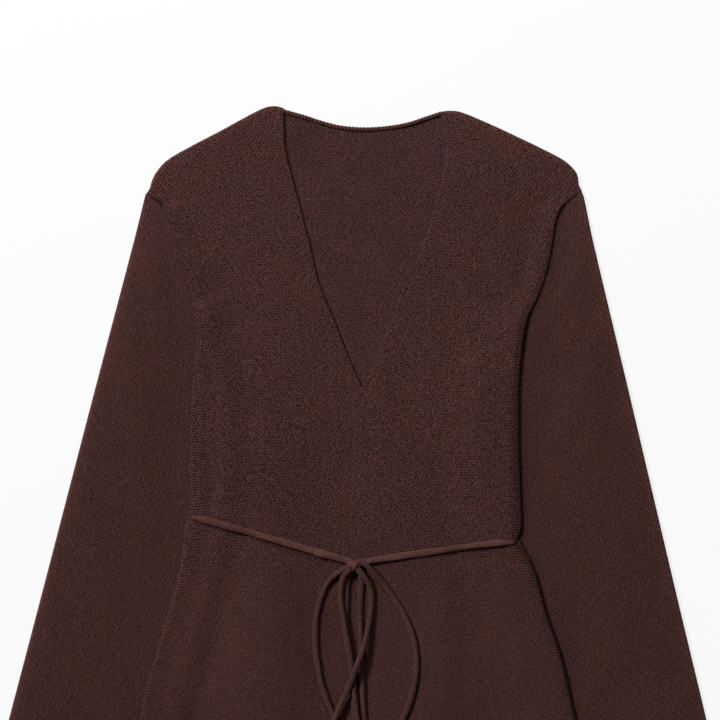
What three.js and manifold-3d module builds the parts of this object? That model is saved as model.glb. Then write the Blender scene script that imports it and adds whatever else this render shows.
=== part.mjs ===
// A knitted wrap cardigan laid flat on its back, front side up.
// Its pieces are the back, two fronts that wrap over each other, two sleeves tucked under the
// body's sides, a rolled edge round the back neck, and a narrow tie knotted in a bow.
// Millimetres. "Across" runs from the centre line to the viewer's right, and "drop" runs down
// the garment from its high shoulder points. Z points up from the surface that it lies on.
import * as THREE from 'three';
import Module from 'manifold-3d';
import { mergeVertices } from 'three/addons/utils/BufferGeometryUtils.js';

const wasm = await Module();
wasm.setup();

// Cloth and layers
const CLOTH = 2.0;
const LAYER_GAP = 0.7;
const SEAM_GAP = 0.3;
const LAYER = CLOTH + LAYER_GAP;
const HALF = CLOTH / 2;

// Lengths of the garment
const HEM_DROP = 700;
const TIE_WIDTH = 6.6;
const TIE_THICKNESS = 4.0;
const NECK_ROLL = 4.6;

// Rounded folds and edges
const SHOULDER_FOLD = 1.6;
const SHOULDER_BAND = 16;
const SHOULDER_BAND_END = 4;
const EDGE_LIFT = 0.9;
const EDGE_GAP = 0.45;
const EDGE_ROLL = EDGE_LIFT + LAYER - HALF - EDGE_GAP;
const EDGE_BASE = EDGE_ROLL + HALF;
const FOLD_BASE = SHOULDER_FOLD + HALF;

// Where the body rises over the sleeves, and the fronts over the seams and each other
const SLEEVE_PLATEAU = 5;
const SLEEVE_RAMP = 30;
const UNDERARM_RAMP = 40;
const ARMHOLE_RAMP = 28;
const LAP_MARGIN = 14;
const LAP_RAMP = 30;

// The side edges of the body, from the shoulder tip by the underarm to the hem
const LEFT_SIDE = [
  { drop: 87.5, across: -212.5 },
  { drop: 92, across: -206 },
  { drop: 97, across: -198 },
  { drop: 104, across: -193.5 },
  { drop: 125, across: -187 },
  { drop: 157, across: -177.5 },
  { drop: 190, across: -169 },
  { drop: 225, across: -163.5 },
  { drop: 261, across: -166 },
  { drop: 300, across: -168.5 },
  { drop: 360, across: -170.5 },
  { drop: 406, across: -170 },
  { drop: 422, across: -175 },
  { drop: 461, across: -180 },
  { drop: 493, across: -188 },
  { drop: 533, across: -200 },
  { drop: 573, across: -212 },
  { drop: 605, across: -219.5 },
  { drop: 653, across: -227 },
  { drop: 700, across: -233 },
];
const RIGHT_SIDE = [
  { drop: 84.5, across: 220.5 },
  { drop: 93, across: 210 },
  { drop: 104, across: 200.5 },
  { drop: 115, across: 196 },
  { drop: 143, across: 191.5 },
  { drop: 165, across: 187 },
  { drop: 190, across: 179 },
  { drop: 213, across: 168 },
  { drop: 237, across: 163 },
  { drop: 277, across: 159.5 },
  { drop: 320, across: 159.2 },
  { drop: 383, across: 161 },
  { drop: 423, across: 162 },
  { drop: 435, across: 158 },
  { drop: 447, across: 165 },
  { drop: 468, across: 176 },
  { drop: 508, across: 187 },
  { drop: 548, across: 201 },
  { drop: 608, across: 215 },
  { drop: 650, across: 224.5 },
  { drop: 700, across: 234 },
];

// The shoulder folds, from the armhole to the neck
const LEFT_SHOULDER = [
  { drop: 87.5, across: -212.5 },
  { drop: 77, across: -209.5 },
  { drop: 65, across: -204 },
  { drop: 53, across: -193 },
  { drop: 41, across: -173 },
  { drop: 23, across: -139 },
  { drop: 5, across: -106 },
  { drop: -0.5, across: -93 },
  { drop: -1, across: -84 },
  { drop: 1, across: -76.5 },
];
const RIGHT_SHOULDER = [
  { drop: 84.5, across: 220.5 },
  { drop: 74, across: 218.8 },
  { drop: 65, across: 216 },
  { drop: 54, across: 205 },
  { drop: 41, across: 181 },
  { drop: 29, across: 156 },
  { drop: 17, across: 130 },
  { drop: 5, across: 101 },
  { drop: 3.5, across: 90 },
  { drop: 4.5, across: 80 },
];

// The fronts' free edges: down the V, and on to the hem
const UNDER_EDGE = [
  { drop: 1, across: -76.5 },
  { drop: 33, across: -76 },
  { drop: 55, across: -72 },
  { drop: 93, across: -62 },
  { drop: 139, across: -50 },
  { drop: 177, across: -41 },
  { drop: 213, across: -26 },
  { drop: 244, across: -14 },
  { drop: 281, across: 2 },
  { drop: 340, across: 28 },
  { drop: 400, across: 50 },
  { drop: 450, across: 62 },
  { drop: 550, across: 68 },
  { drop: 700, across: 64 },
];
const OVER_EDGE = [
  { drop: 4.5, across: 80 },
  { drop: 20, across: 84.5 },
  { drop: 40, across: 86 },
  { drop: 69, across: 82 },
  { drop: 110, across: 72 },
  { drop: 151, across: 58 },
  { drop: 184, across: 43 },
  { drop: 223, across: 27.5 },
  { drop: 255, across: 15 },
  { drop: 277, across: 4 },
  { drop: 291, across: -7 },
  { drop: 330, across: -6 },
  { drop: 361, across: -7 },
  { drop: 389, across: -9 },
  { drop: 410, across: -12 },
  { drop: 431, across: -20 },
  { drop: 463, across: -36 },
  { drop: 490, across: -43 },
  { drop: 543, across: -46 },
  { drop: 603, across: -38 },
  { drop: 700, across: -31 },
];

// The top line of the rolled edge round the back neck
const NECK = [
  { across: -76, drop: 2 },
  { across: -55, drop: 8 },
  { across: -40, drop: 13 },
  { across: -20, drop: 18 },
  { across: 5, drop: 20 },
  { across: 30, drop: 18.3 },
  { across: 50, drop: 14.5 },
  { across: 65, drop: 9.5 },
  { across: 80, drop: 4.5 },
];

// How far the back's edge stays inside the body's edge: more under the armhole seam
const BACK_INSET = [
  { drop: 88, inset: 4.5 },
  { drop: 104, inset: 3.5 },
  { drop: 215, inset: 3.5 },
  { drop: 240, inset: 0.5 },
  { drop: 700, inset: 0.5 },
];

// How far the sleeve's end reaches in under the front's edge
const SLEEVE_REACH = [
  { drop: 84, reach: -0.7 },
  { drop: 110, reach: -0.7 },
  { drop: 124, reach: 2.5 },
  { drop: 240, reach: 2.5 },
];

// The sleeves' outer folds, from the shoulder to the cuff, and their inner folds under the body
const LEFT_SLEEVE = [
  { drop: 90, across: -215 },
  { drop: 133, across: -226 },
  { drop: 293, across: -268 },
  { drop: 493, across: -320 },
  { drop: 613, across: -351.5 },
  { drop: 683, across: -370 },
];
const RIGHT_SLEEVE = [
  { drop: 88, across: 223.5 },
  { drop: 133, across: 233 },
  { drop: 293, across: 271 },
  { drop: 493, across: 318 },
  { drop: 593, across: 342 },
  { drop: 683, across: 363 },
];
const LEFT_INNER_FOLD = [
  { drop: 226, across: -161 },
  { drop: 253, across: -151 },
  { drop: 293, across: -145 },
  { drop: 343, across: -143 },
  { drop: 393, across: -145 },
  { drop: 433, across: -150 },
  { drop: 593, across: -190 },
  { drop: 721, across: -224.8 },
];
const RIGHT_INNER_FOLD = [
  { drop: 233, across: 161 },
  { drop: 263, across: 147 },
  { drop: 293, across: 141 },
  { drop: 323, across: 139 },
  { drop: 363, across: 140 },
  { drop: 433, across: 148 },
  { drop: 593, across: 188 },
  { drop: 719, across: 217.2 },
];

// Soft swells of the fronts: the crests of their largest folds
const SWELLS = [
  { across: -112, drop: 585, wide: 58, long: 190, rise: 3.4 },
  { across: -100, drop: 345, wide: 52, long: 110, rise: 2.6 },
  { across: 100, drop: 600, wide: 62, long: 160, rise: 2.6 },
  { across: 105, drop: 330, wide: 50, long: 130, rise: 1.6 },
];

// Rows down the body's side and the number of steps in each stretch
const SIDE_STRETCHES = [
  { from: 700, to: 460, steps: 6 },
  { from: 460, to: 400, steps: 5 },
  { from: 400, to: 250, steps: 4 },
  { from: 250, to: 180, steps: 6 },
  { from: 180, to: 112, steps: 3 },
  { from: 112, to: 98, steps: 2 },
];
const SIDE_COLUMNS = [EDGE_BASE, 9, 16, 23, 30, 38, 46, 54, 62];
const FRONT_STEPS = 7;

// The tie's visible stretches. "layer" counts the strands that lie beneath it.
const LEFT_TIE = [
  { across: -168, drop: 409.5, layer: 0 },
  { across: -145, drop: 415.5, layer: 0 },
  { across: -120, drop: 422.5, layer: 0 },
  { across: -95, drop: 430, layer: 0 },
  { across: -65, drop: 438.5, layer: 0 },
  { across: -40, drop: 446, layer: 0.1 },
  { across: -25, drop: 450, layer: 0.3 },
  { across: -7, drop: 455.5, layer: 0.3 },
];
const RIGHT_TIE = [
  { across: 154, drop: 435.2, layer: 0 },
  { across: 140, drop: 435.6, layer: 0 },
  { across: 115, drop: 438.4, layer: 0 },
  { across: 75, drop: 444.2, layer: 0 },
  { across: 35, drop: 449.8, layer: 0 },
  { across: 10, drop: 453.8, layer: 0.2 },
  { across: -7, drop: 456, layer: 0.3 },
];
const LEFT_LOOP = [
  { across: -9, drop: 459, layer: 1 },
  { across: -19, drop: 463.5, layer: 0.6 },
  { across: -31, drop: 474, layer: 0.1 },
  { across: -39.5, drop: 492, layer: 0 },
  { across: -44.3, drop: 514, layer: 0 },
  { across: -44.6, drop: 540, layer: 0 },
  { across: -41, drop: 566, layer: 0 },
  { across: -35, drop: 588, layer: 0 },
  { across: -26.5, drop: 608, layer: 0 },
  { across: -18, drop: 625, layer: 0.4 },
  { across: -11, drop: 636, layer: 1 },
  { across: -5, drop: 637, layer: 1.1 },
  { across: -2.5, drop: 624, layer: 1.15 },
  { across: -4, drop: 602, layer: 1.12 },
  { across: -6.5, drop: 578, layer: 1.1 },
  { across: -9, drop: 556, layer: 1.1 },
  { across: -13, drop: 534, layer: 1.1 },
  { across: -17, drop: 510, layer: 1.1 },
  { across: -19.5, drop: 488, layer: 1.15 },
  { across: -17, drop: 470, layer: 1.3 },
  { across: -9, drop: 462, layer: 1.7 },
];
const RIGHT_LOOP = [
  { across: -5, drop: 453, layer: 1.4 },
  { across: 5, drop: 457, layer: 1.35 },
  { across: 15, drop: 467, layer: 0.9 },
  { across: 25, drop: 479, layer: 0.1 },
  { across: 38, drop: 498, layer: 0 },
  { across: 49, drop: 519, layer: 0 },
  { across: 55.5, drop: 541, layer: 0 },
  { across: 56, drop: 566, layer: 0.1 },
  { across: 52, drop: 588, layer: 0.1 },
  { across: 44, drop: 609, layer: 0.1 },
  { across: 34, drop: 626, layer: 0 },
  { across: 22, drop: 639, layer: 0 },
  { across: 9.5, drop: 636, layer: 0 },
  { across: 4.3, drop: 615, layer: 0 },
  { across: 2.6, drop: 592, layer: 0 },
  { across: 1.4, drop: 566, layer: 0 },
  { across: 0.8, drop: 538, layer: 0 },
  { across: 0, drop: 508, layer: 0 },
  { across: 0.5, drop: 486, layer: 0 },
  { across: 1, drop: 470, layer: 0.1 },
  { across: 0, drop: 460, layer: 0.3 },
];
const LEFT_END = [
  { across: -7.5, drop: 460, layer: 0 },
  { across: -11, drop: 469, layer: 0 },
  { across: -13.4, drop: 484, layer: 0 },
  { across: -14, drop: 508, layer: 0 },
  { across: -13.5, drop: 532, layer: 0 },
  { across: -9.5, drop: 556, layer: 0 },
  { across: -8, drop: 580, layer: 0 },
  { across: -6, drop: 604, layer: 0 },
  { across: -5, drop: 628, layer: 0 },
  { across: -6, drop: 652, layer: 0 },
  { across: -3, drop: 684, layer: 0 },
];
const RIGHT_END = [
  { across: -3, drop: 461, layer: 1.5 },
  { across: 4, drop: 470, layer: 1.35 },
  { across: 9.7, drop: 480, layer: 0.6 },
  { across: 11.3, drop: 496, layer: 0.2 },
  { across: 9, drop: 516, layer: 0.6 },
  { across: 4, drop: 538, layer: 1.5 },
  { across: -2.5, drop: 557, layer: 2.25 },
  { across: -8, drop: 571, layer: 2.25 },
  { across: -14, drop: 585, layer: 1.7 },
  { across: -20, drop: 598, layer: 1.3 },
  { across: -25, drop: 611, layer: 1.3 },
  { across: -30, drop: 625, layer: 0.8 },
  { across: -36, drop: 645, layer: 0 },
  { across: -41, drop: 672, layer: 0 },
  { across: -40, drop: 690, layer: 0 },
];
const KNOT = { across: -6, drop: 458, wide: 8, long: 6.4, high: 5.4 };

// Colours of the knit and of the smoother tie
const KNIT_BROWN = 0x43302c;
const TIE_BROWN = 0x4c3530;

const between = (a, b, t) => a + (b - a) * t;

// Rises from 0 to 1 with level ends as t goes from 0 to 1.
function smooth(t) {
  const c = Math.min(Math.max(t, 0), 1);
  return c * c * (3 - 2 * c);
}

// A smooth line through a table: one column as a function of another, held at the ends.
function through(rows, key, value) {
  const k = rows.map((row) => row[key]);
  const v = rows.map((row) => row[value]);
  const last = k.length - 1;
  const slopeAt = (i) => {
    const before = Math.max(i - 1, 0);
    const after = Math.min(i + 1, last);
    return (v[after] - v[before]) / (k[after] - k[before]);
  };
  return (x) => {
    let i = 0;
    while (i < last - 1 && x > k[i + 1]) i += 1;
    const step = k[i + 1] - k[i];
    const t = Math.min(Math.max((x - k[i]) / step, 0), 1);
    const rise = v[i + 1] - v[i];
    const a = slopeAt(i) * step - rise;
    const b = rise - slopeAt(i + 1) * step;
    return v[i] + rise * t + t * (1 - t) * (a * (1 - t) + b * t);
  };
}

// A smooth plan curve through points, run from 0 to 1 by the length of its chords.
function planCurve(points) {
  let run = 0;
  const rows = points.map((point, i) => {
    if (i > 0) run += Math.hypot(point.across - points[i - 1].across, point.drop - points[i - 1].drop);
    return { run, across: point.across, drop: point.drop };
  });
  const across = through(rows, 'run', 'across');
  const drop = through(rows, 'run', 'drop');
  const curve = (t) => ({ across: across(t * run), drop: drop(t * run) });
  curve.shares = rows.map((row) => row.run / run);
  curve.reach = run;
  return curve;
}

// A plan point inside four edges: the two straight blends of opposite edges less their corners.
function patchPoint(patch, g, f) {
  const outer = patch.outer(f);
  const inner = patch.inner(f);
  const low = patch.low(g);
  const high = patch.high(g);
  const [a, b, c, d] = [patch.low(0), patch.low(1), patch.high(0), patch.high(1)];
  const blend = (key) => {
    const sides = between(outer[key], inner[key], g);
    const ends = between(low[key], high[key], f);
    const corners = between(between(a[key], b[key], g), between(c[key], d[key], g), f);
    return sides + ends - corners;
  };
  return { across: blend('across'), drop: blend('drop') };
}

const leftSide = {
  sign: -1,
  tip: LEFT_SIDE[0].drop,
  underarm: LEFT_INNER_FOLD[0].drop,
  edge: through(LEFT_SIDE, 'drop', 'across'),
  fold: through(LEFT_INNER_FOLD, 'drop', 'across'),
  shoulder: planCurve(LEFT_SHOULDER),
};
const rightSide = {
  sign: 1,
  tip: RIGHT_SIDE[0].drop,
  underarm: RIGHT_INNER_FOLD[0].drop,
  edge: through(RIGHT_SIDE, 'drop', 'across'),
  fold: through(RIGHT_INNER_FOLD, 'drop', 'across'),
  shoulder: planCurve(RIGHT_SHOULDER),
};
const backInset = through(BACK_INSET, 'drop', 'inset');
const sleeveReach = through(SLEEVE_REACH, 'drop', 'reach');
const underEdge = through(UNDER_EDGE, 'drop', 'across');
const overEdge = through(OVER_EDGE, 'drop', 'across');

// Layers of sleeve that the back lies on at a place, from 0 in the middle to 2 on a sleeve.
function layersBelow(across, drop) {
  return [leftSide, rightSide].reduce((sum, side) => {
    const beyond = side.sign * (side.fold(drop) - across);
    const onSleeve = 1 - smooth((beyond - SLEEVE_PLATEAU) / SLEEVE_RAMP);
    const belowArm = smooth((drop - side.underarm + UNDERARM_RAMP + 5) / UNDERARM_RAMP);
    return sum + 2 * onSleeve * belowArm;
  }, 0);
}

// Height of the fronts' middle surface over the back and, at the armhole, over the seam.
function frontHeight(across, drop) {
  const below = layersBelow(across, drop);
  const side = across < 0 ? leftSide : rightSide;
  const inset = side.sign * (side.edge(drop) - across);
  const seam = (1 - smooth(inset / ARMHOLE_RAMP)) * smooth((drop - side.tip) / 18);
  const swell = SWELLS.reduce((sum, row) => {
    const a = (across - row.across) / row.wide;
    const d = (drop - row.drop) / row.long;
    return sum + row.rise * smooth(1 - Math.hypot(a, d));
  }, 0);
  const lift = EDGE_LIFT * (1 - smooth(inset / 22));
  return HALF + LAYER * (1 + below + seam * (1 - below / 2)) + lift + swell;
}

// The over front's height, raised one layer where it laps on the under front.
function overHeight(across, drop) {
  const lap = 1 - smooth((across - underEdge(drop) - LAP_MARGIN) / LAP_RAMP);
  return frontHeight(across, drop) + LAYER * lap;
}

const backHeight = (across, drop) => HALF + LAYER * layersBelow(across, drop);

// Height of the uppermost cloth, blended up to the over front's edge from beside it.
function topHeight(across, drop) {
  const onOver = smooth((across - overEdge(drop) + 9) / 7);
  return between(frontHeight(across, drop), overHeight(across, drop), onOver) + HALF;
}

const place = (point, height) => new THREE.Vector3(point.across, -point.drop, height);

// Turns every face of a closed geometry outward if they all point in.
function facingOut(positions, indices) {
  let volume = 0;
  for (let i = 0; i < indices.length; i += 3) {
    const [a, b, c] = [positions[indices[i]], positions[indices[i + 1]], positions[indices[i + 2]]];
    volume += a.dot(b.clone().cross(c));
  }
  const order = volume < 0 ? [0, 2, 1] : [0, 1, 2];
  const geometry = new THREE.BufferGeometry();
  geometry.setAttribute('position', new THREE.Float32BufferAttribute(positions.flatMap((p) => p.toArray()), 3));
  const turned = [];
  for (let i = 0; i < indices.length; i += 3) order.forEach((k) => turned.push(indices[i + k]));
  geometry.setIndex(turned);
  return geometry;
}

// A closed wall of cloth from its middle surface: rows of points, moved half the thickness
// to each side along the surface's normals, and joined round the free edges.
function clothWall(rows, thickness) {
  const height = rows.length;
  const width = rows[0].length;
  const positions = [];
  const direction = (from, here, to) => {
    const sum = new THREE.Vector3();
    if (here !== to) sum.add(to.clone().sub(here).normalize());
    if (here !== from) sum.add(here.clone().sub(from).normalize());
    return sum;
  };
  const column = (j) => Math.min(Math.max(j, 0), width - 1);
  for (const face of [1, -1]) {
    for (let i = 0; i < height; i += 1) {
      for (let j = 0; j < width; j += 1) {
        const here = rows[i][j];
        const alongRow = direction(rows[i][column(j - 1)], here, rows[i][column(j + 1)]);
        const upRows = direction(rows[Math.max(i - 1, 0)][j], here, rows[Math.min(i + 1, height - 1)][j]);
        const normal = alongRow.cross(upRows).normalize();
        positions.push(here.clone().addScaledVector(normal, face * thickness / 2));
      }
    }
  }
  const top = (i, j) => i * width + j;
  const under = (i, j) => height * width + top(i, j);
  const indices = [];
  const quad = (a, b, c, d) => indices.push(a, b, c, a, c, d);
  for (let i = 0; i < height - 1; i += 1) {
    for (let j = 0; j < width - 1; j += 1) {
      quad(top(i, j), top(i, j + 1), top(i + 1, j + 1), top(i + 1, j));
      quad(under(i, j), under(i + 1, j), under(i + 1, j + 1), under(i, j + 1));
    }
    quad(top(i, 0), top(i + 1, 0), under(i + 1, 0), under(i, 0));
    quad(top(i, width - 1), under(i, width - 1), under(i + 1, width - 1), top(i + 1, width - 1));
  }
  for (let j = 0; j < width - 1; j += 1) {
    quad(top(0, j), under(0, j), under(0, j + 1), top(0, j + 1));
    quad(top(height - 1, j), top(height - 1, j + 1), under(height - 1, j + 1), under(height - 1, j));
  }
  return facingOut(positions, indices);
}

// The shared rows of the body: drops along the side edge, from the hem to the shoulder tip.
const sideDrops = SIDE_STRETCHES.flatMap(({ from, to, steps }) =>
  Array.from({ length: steps }, (_, i) => between(from, to, i / steps)),
);

const rowsTo = (tip) => [...sideDrops, between(sideDrops.at(-1), tip, 0.5), tip].map((drop) => ({
  drop,
  share: (HEM_DROP - drop) / (HEM_DROP - tip),
}));

// The plan direction out of the shoulder fold, square to it.
function outOfShoulder(side, g) {
  const a = side.shoulder(Math.max(g - 0.02, 0));
  const b = side.shoulder(Math.min(g + 0.02, 1));
  const length = Math.hypot(b.across - a.across, b.drop - a.drop);
  return {
    across: side.sign * (a.drop - b.drop) / length,
    drop: side.sign * (b.across - a.across) / length,
  };
}

// A plan point moved a distance along a plan direction.
function moved(point, way, distance) {
  return { across: point.across + way.across * distance, drop: point.drop + way.drop * distance };
}

const shoulderBand = (g) => between(SHOULDER_BAND_END, SHOULDER_BAND, Math.sin(Math.PI * g));

// The four edges of a front: its side, its free edge, its hem and its shoulder fold's base line.
function frontPatch(side, freeEdge) {
  const neckDrop = side.shoulder(1).drop;
  const rowDrop = (f) => between(HEM_DROP, side.tip, f);
  const freeDrop = (f) => between(HEM_DROP, neckDrop + FOLD_BASE, f);
  return {
    outer: (f) => ({ across: side.edge(rowDrop(f)), drop: rowDrop(f) }),
    inner: (f) => ({ across: freeEdge(freeDrop(f)), drop: freeDrop(f) }),
    low: (g) => ({ across: between(side.edge(HEM_DROP), freeEdge(HEM_DROP), g), drop: HEM_DROP }),
    high: (g) => {
      const inward = FOLD_BASE * smooth(g / 0.05);
      return moved(side.shoulder(g), outOfShoulder(side, g), -inward);
    },
  };
}

// The rolled side edge of a front: plan distance out from its base and fall, after a run
// along the cloth, where "turn" is 1 for a full quarter turn and 0 for a flat edge.
function rolled(run, turn, radius) {
  const bend = Math.max(turn, 0.01) / radius;
  return { out: Math.sin(run * bend) / bend, fall: (1 - Math.cos(run * bend)) / bend };
}

// The shares across a front at which its rows have points, from its side to its free edge.
function frontColumns(patch, share) {
  const outer = patch.outer(share);
  const inner = patch.inner(share);
  const length = Math.hypot(inner.across - outer.across, inner.drop - outer.drop);
  const start = SIDE_COLUMNS.map((inset) => inset / length);
  const rest = Array.from({ length: FRONT_STEPS }, (_, i) => between(start.at(-1), 1, (i + 1) / FRONT_STEPS));
  return [...start, ...rest];
}

// One front: the rolled side edge, the panel, and the fold over the shoulder to its seam.
function frontRows(side, freeEdge, heightAt) {
  const patch = frontPatch(side, freeEdge);
  const rows = rowsTo(side.tip).map(({ drop, share }) => {
    const nearFold = smooth((share - 0.965) / 0.035);
    const cells = frontColumns(patch, share).map((g) => {
      const point = patchPoint(patch, g, share);
      const height = between(heightAt(point.across, point.drop), HALF + 2 * SHOULDER_FOLD, nearFold);
      return { g, point, height };
    });
    const turn = smooth((drop - side.tip - 4) / 16);
    const [base, next] = cells;
    const way = { across: base.point.across - next.point.across, drop: base.point.drop - next.point.drop };
    const size = Math.hypot(way.across, way.drop);
    const outward = { across: way.across / size, drop: way.drop / size };
    const run = between(EDGE_BASE - 0.2, EDGE_ROLL * Math.PI / 2, turn);
    const edge = [1, 2 / 3, 1 / 3].map((part) => {
      const { out, fall } = rolled(run * part, turn, EDGE_ROLL);
      return { g: base.g * (1 - part), point: moved(base.point, outward, out), height: base.height - fall };
    });
    return [...edge, ...cells];
  });
  const foldLine = rows.at(-1);
  const fold = [0.25, 0.5, 0.75, 1].map((part) => foldLine.map(({ g, point, height }) => {
    const radius = (height - HALF) / 2;
    const out = outOfShoulder(side, g);
    const angle = Math.PI * part;
    return {
      point: moved(point, out, radius * Math.sin(angle)),
      height: HALF + radius * (1 + Math.cos(angle)),
    };
  }));
  const band = [0.5, 1].map((part) => foldLine.map(({ g, point }) => ({
    point: moved(point, outOfShoulder(side, g), -shoulderBand(g) * part),
    height: HALF,
  })));
  return [...rows, ...fold, ...band].map((row) => row.map(({ point, height }) => place(point, height)));
}

// The back's top line: a shoulder seam beside each front's band, and the neck between them.
const NECK_COLUMNS = [-76, -65, -52, -38, -20, 5, 30, 48, 60, 71, 79.7];
const BACK_TIP = 94;
const SEAM_START = 0.12;
const neckTop = through(NECK, 'across', 'drop');

function shoulderSeam(side, freeEdge) {
  const patch = frontPatch(side, freeEdge);
  const shares = frontColumns(patch, 1).filter((g) => g > SEAM_START);
  return shares.map((g) =>
    moved(patchPoint(patch, g, 1), outOfShoulder(side, g), -shoulderBand(g) - SEAM_GAP),
  );
}

const backEdge = (side, drop) => ({
  across: side.edge(drop) - side.sign * backInset(drop),
  drop,
});
const leftSeam = shoulderSeam(leftSide, underEdge);
const rightSeam = shoulderSeam(rightSide, overEdge).reverse();
const neckLine = NECK_COLUMNS.map((across) => ({
  across,
  drop: neckTop(across) + NECK_ROLL + SEAM_GAP,
}));
const backTop = [
  backEdge(leftSide, BACK_TIP),
  ...leftSeam,
  ...neckLine,
  ...rightSeam,
  backEdge(rightSide, BACK_TIP),
];

// A point of the back's top line, by its share of the way across.
function backTopAt(g) {
  const across = between(backTop[0].across, backTop.at(-1).across, g);
  const i = Math.max(backTop.findLastIndex((point) => point.across <= across), 0);
  const from = backTop[Math.min(i, backTop.length - 2)];
  const to = backTop[Math.min(i, backTop.length - 2) + 1];
  const part = (across - from.across) / (to.across - from.across);
  return { across, drop: between(from.drop, to.drop, part) };
}

// The back's middle columns run to points of its top line, so that its corners are kept.
const backMiddle = [...leftSeam.slice(-5), ...neckLine, ...rightSeam.slice(0, 5)].map((point) =>
  (point.across - backTop[0].across) / (backTop.at(-1).across - backTop[0].across),
);

function backRows() {
  const rowDrop = (f) => between(HEM_DROP, BACK_TIP, f);
  const patch = {
    outer: (f) => backEdge(leftSide, rowDrop(f)),
    inner: (f) => backEdge(rightSide, rowDrop(f)),
    low: (g) => ({
      across: between(backEdge(leftSide, HEM_DROP).across, backEdge(rightSide, HEM_DROP).across, g),
      drop: HEM_DROP,
    }),
    high: backTopAt,
  };
  const drops = [...sideDrops, BACK_TIP];
  return drops.map((drop) => {
    const share = (HEM_DROP - drop) / (HEM_DROP - BACK_TIP);
    const length = patch.inner(share).across - patch.outer(share).across;
    const start = [0, ...SIDE_COLUMNS].map((inset) => inset / length);
    const end = start.map((g) => 1 - g).reverse();
    return [...start, ...backMiddle, ...end].map((g) => {
      const point = patchPoint(patch, g, share);
      return place(point, backHeight(point.across, point.drop));
    });
  });
}

// A sleeve: cloth folded flat along its outer fold. Each row runs from the inner edge across the
// upper layer, round the outer fold and back beneath. Above the underarm the inner edges are
// the armhole's, and below it they meet in the sleeve's seam.
const SLEEVE_ROWS = [
  { outer: 90, inner: 93 },
  { outer: 97, inner: 100 },
  { outer: 108, inner: 113 },
  { outer: 125, inner: 135 },
  { outer: 145, inner: 158 },
  { outer: 165, inner: 182 },
  { outer: 185, inner: 206 },
  { outer: 203, inner: 227 },
  { outer: 225, inner: 250 },
  { outer: 262, inner: 290 },
  { outer: 320, inner: 352 },
  { outer: 390, inner: 425 },
  { outer: 480, inner: 517 },
  { outer: 580, inner: 618 },
  { outer: 683, inner: 720 },
];
const SLEEVE_COLUMNS = 8;
const SLEEVE_FOLD = LAYER / 2;
const SLEEVE_ROLL = LAYER - HALF - SEAM_GAP;
const SLEEVE_PUFF = 1.6;

function sleeveRows(side, outerFold) {
  const outerAcross = through(outerFold, 'drop', 'across');
  const innerAcross = (drop) => {
    if (drop > side.underarm) return side.fold(drop);
    return side.edge(drop) - side.sign * sleeveReach(drop);
  };
  const top = HALF + LAYER;
  const middle = HALF + SLEEVE_FOLD;
  return SLEEVE_ROWS.map((row) => {
    const outer = { across: outerAcross(row.outer), drop: row.outer };
    const inner = { across: innerAcross(row.inner), drop: row.inner };
    const width = Math.hypot(inner.across - outer.across, inner.drop - outer.drop);
    const at = (inset, height) => place({
      across: between(outer.across, inner.across, inset / width),
      drop: between(outer.drop, inner.drop, inset / width),
    }, height);
    const turn = smooth((row.inner - side.underarm) / 25);
    const foldInset = SLEEVE_FOLD + HALF;
    const rollInset = width - SLEEVE_ROLL - HALF;
    const run = between(SLEEVE_ROLL + HALF - 0.1, SLEEVE_ROLL * Math.PI / 2, turn);
    const roll = [1, 2 / 3, 1 / 3].map((part) => {
      const { out, fall } = rolled(run * part, turn, SLEEVE_ROLL);
      return at(rollInset + out, top - fall);
    });
    const insets = Array.from({ length: SLEEVE_COLUMNS }, (_, i) =>
      between(rollInset, foldInset, i / (SLEEVE_COLUMNS - 1)),
    );
    const puff = (inset) => {
      const fade = smooth((row.inner - side.tip) / 100);
      return SLEEVE_PUFF * fade * Math.sin(Math.PI * Math.min(inset / (0.7 * width), 1));
    };
    const fold = [0.25, 0.5, 0.75].map((part) => at(
      foldInset - SLEEVE_FOLD * Math.sin(Math.PI * part),
      middle + SLEEVE_FOLD * Math.cos(Math.PI * part),
    ));
    return [
      ...roll,
      ...insets.map((inset) => at(inset, top + puff(inset))),
      ...fold,
      ...insets.toReversed().map((inset) => at(inset, HALF)),
      at(width - 0.2, HALF),
    ];
  });
}

// The rolled edge round the back neck: rings beside the back's edge, a seam's gap above it.
const ROLL_SIDES = 10;

function neckRoll() {
  const radius = NECK_ROLL / 2;
  const slope = (across) => {
    const rise = neckTop(across + 1) - neckTop(across - 1);
    return Math.atan2(rise, 2);
  };
  const rings = NECK_COLUMNS.map((across) => {
    const lean = slope(across);
    const centre = { across, drop: neckTop(across) + radius };
    return Array.from({ length: ROLL_SIDES }, (_, k) => {
      const angle = 2 * Math.PI * k / ROLL_SIDES;
      const out = radius * Math.cos(angle);
      const point = moved(centre, { across: Math.sin(lean), drop: -Math.cos(lean) }, out);
      return place(point, radius + radius * Math.sin(angle));
    });
  });
  return solidTube(rings);
}

// A closed solid from rings of points, with a flat cap at each end.
function solidTube(rings) {
  const sides = rings[0].length;
  const positions = rings.flat();
  const indices = [];
  const at = (i, k) => i * sides + (k % sides);
  for (let i = 0; i < rings.length - 1; i += 1) {
    for (let k = 0; k < sides; k += 1) {
      indices.push(at(i, k), at(i, k + 1), at(i + 1, k + 1), at(i, k), at(i + 1, k + 1), at(i + 1, k));
    }
  }
  const last = rings.length - 1;
  for (let k = 1; k < sides - 1; k += 1) {
    indices.push(at(0, 0), at(0, k + 1), at(0, k), at(last, 0), at(last, k), at(last, k + 1));
  }
  return facingOut(positions, indices);
}

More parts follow.
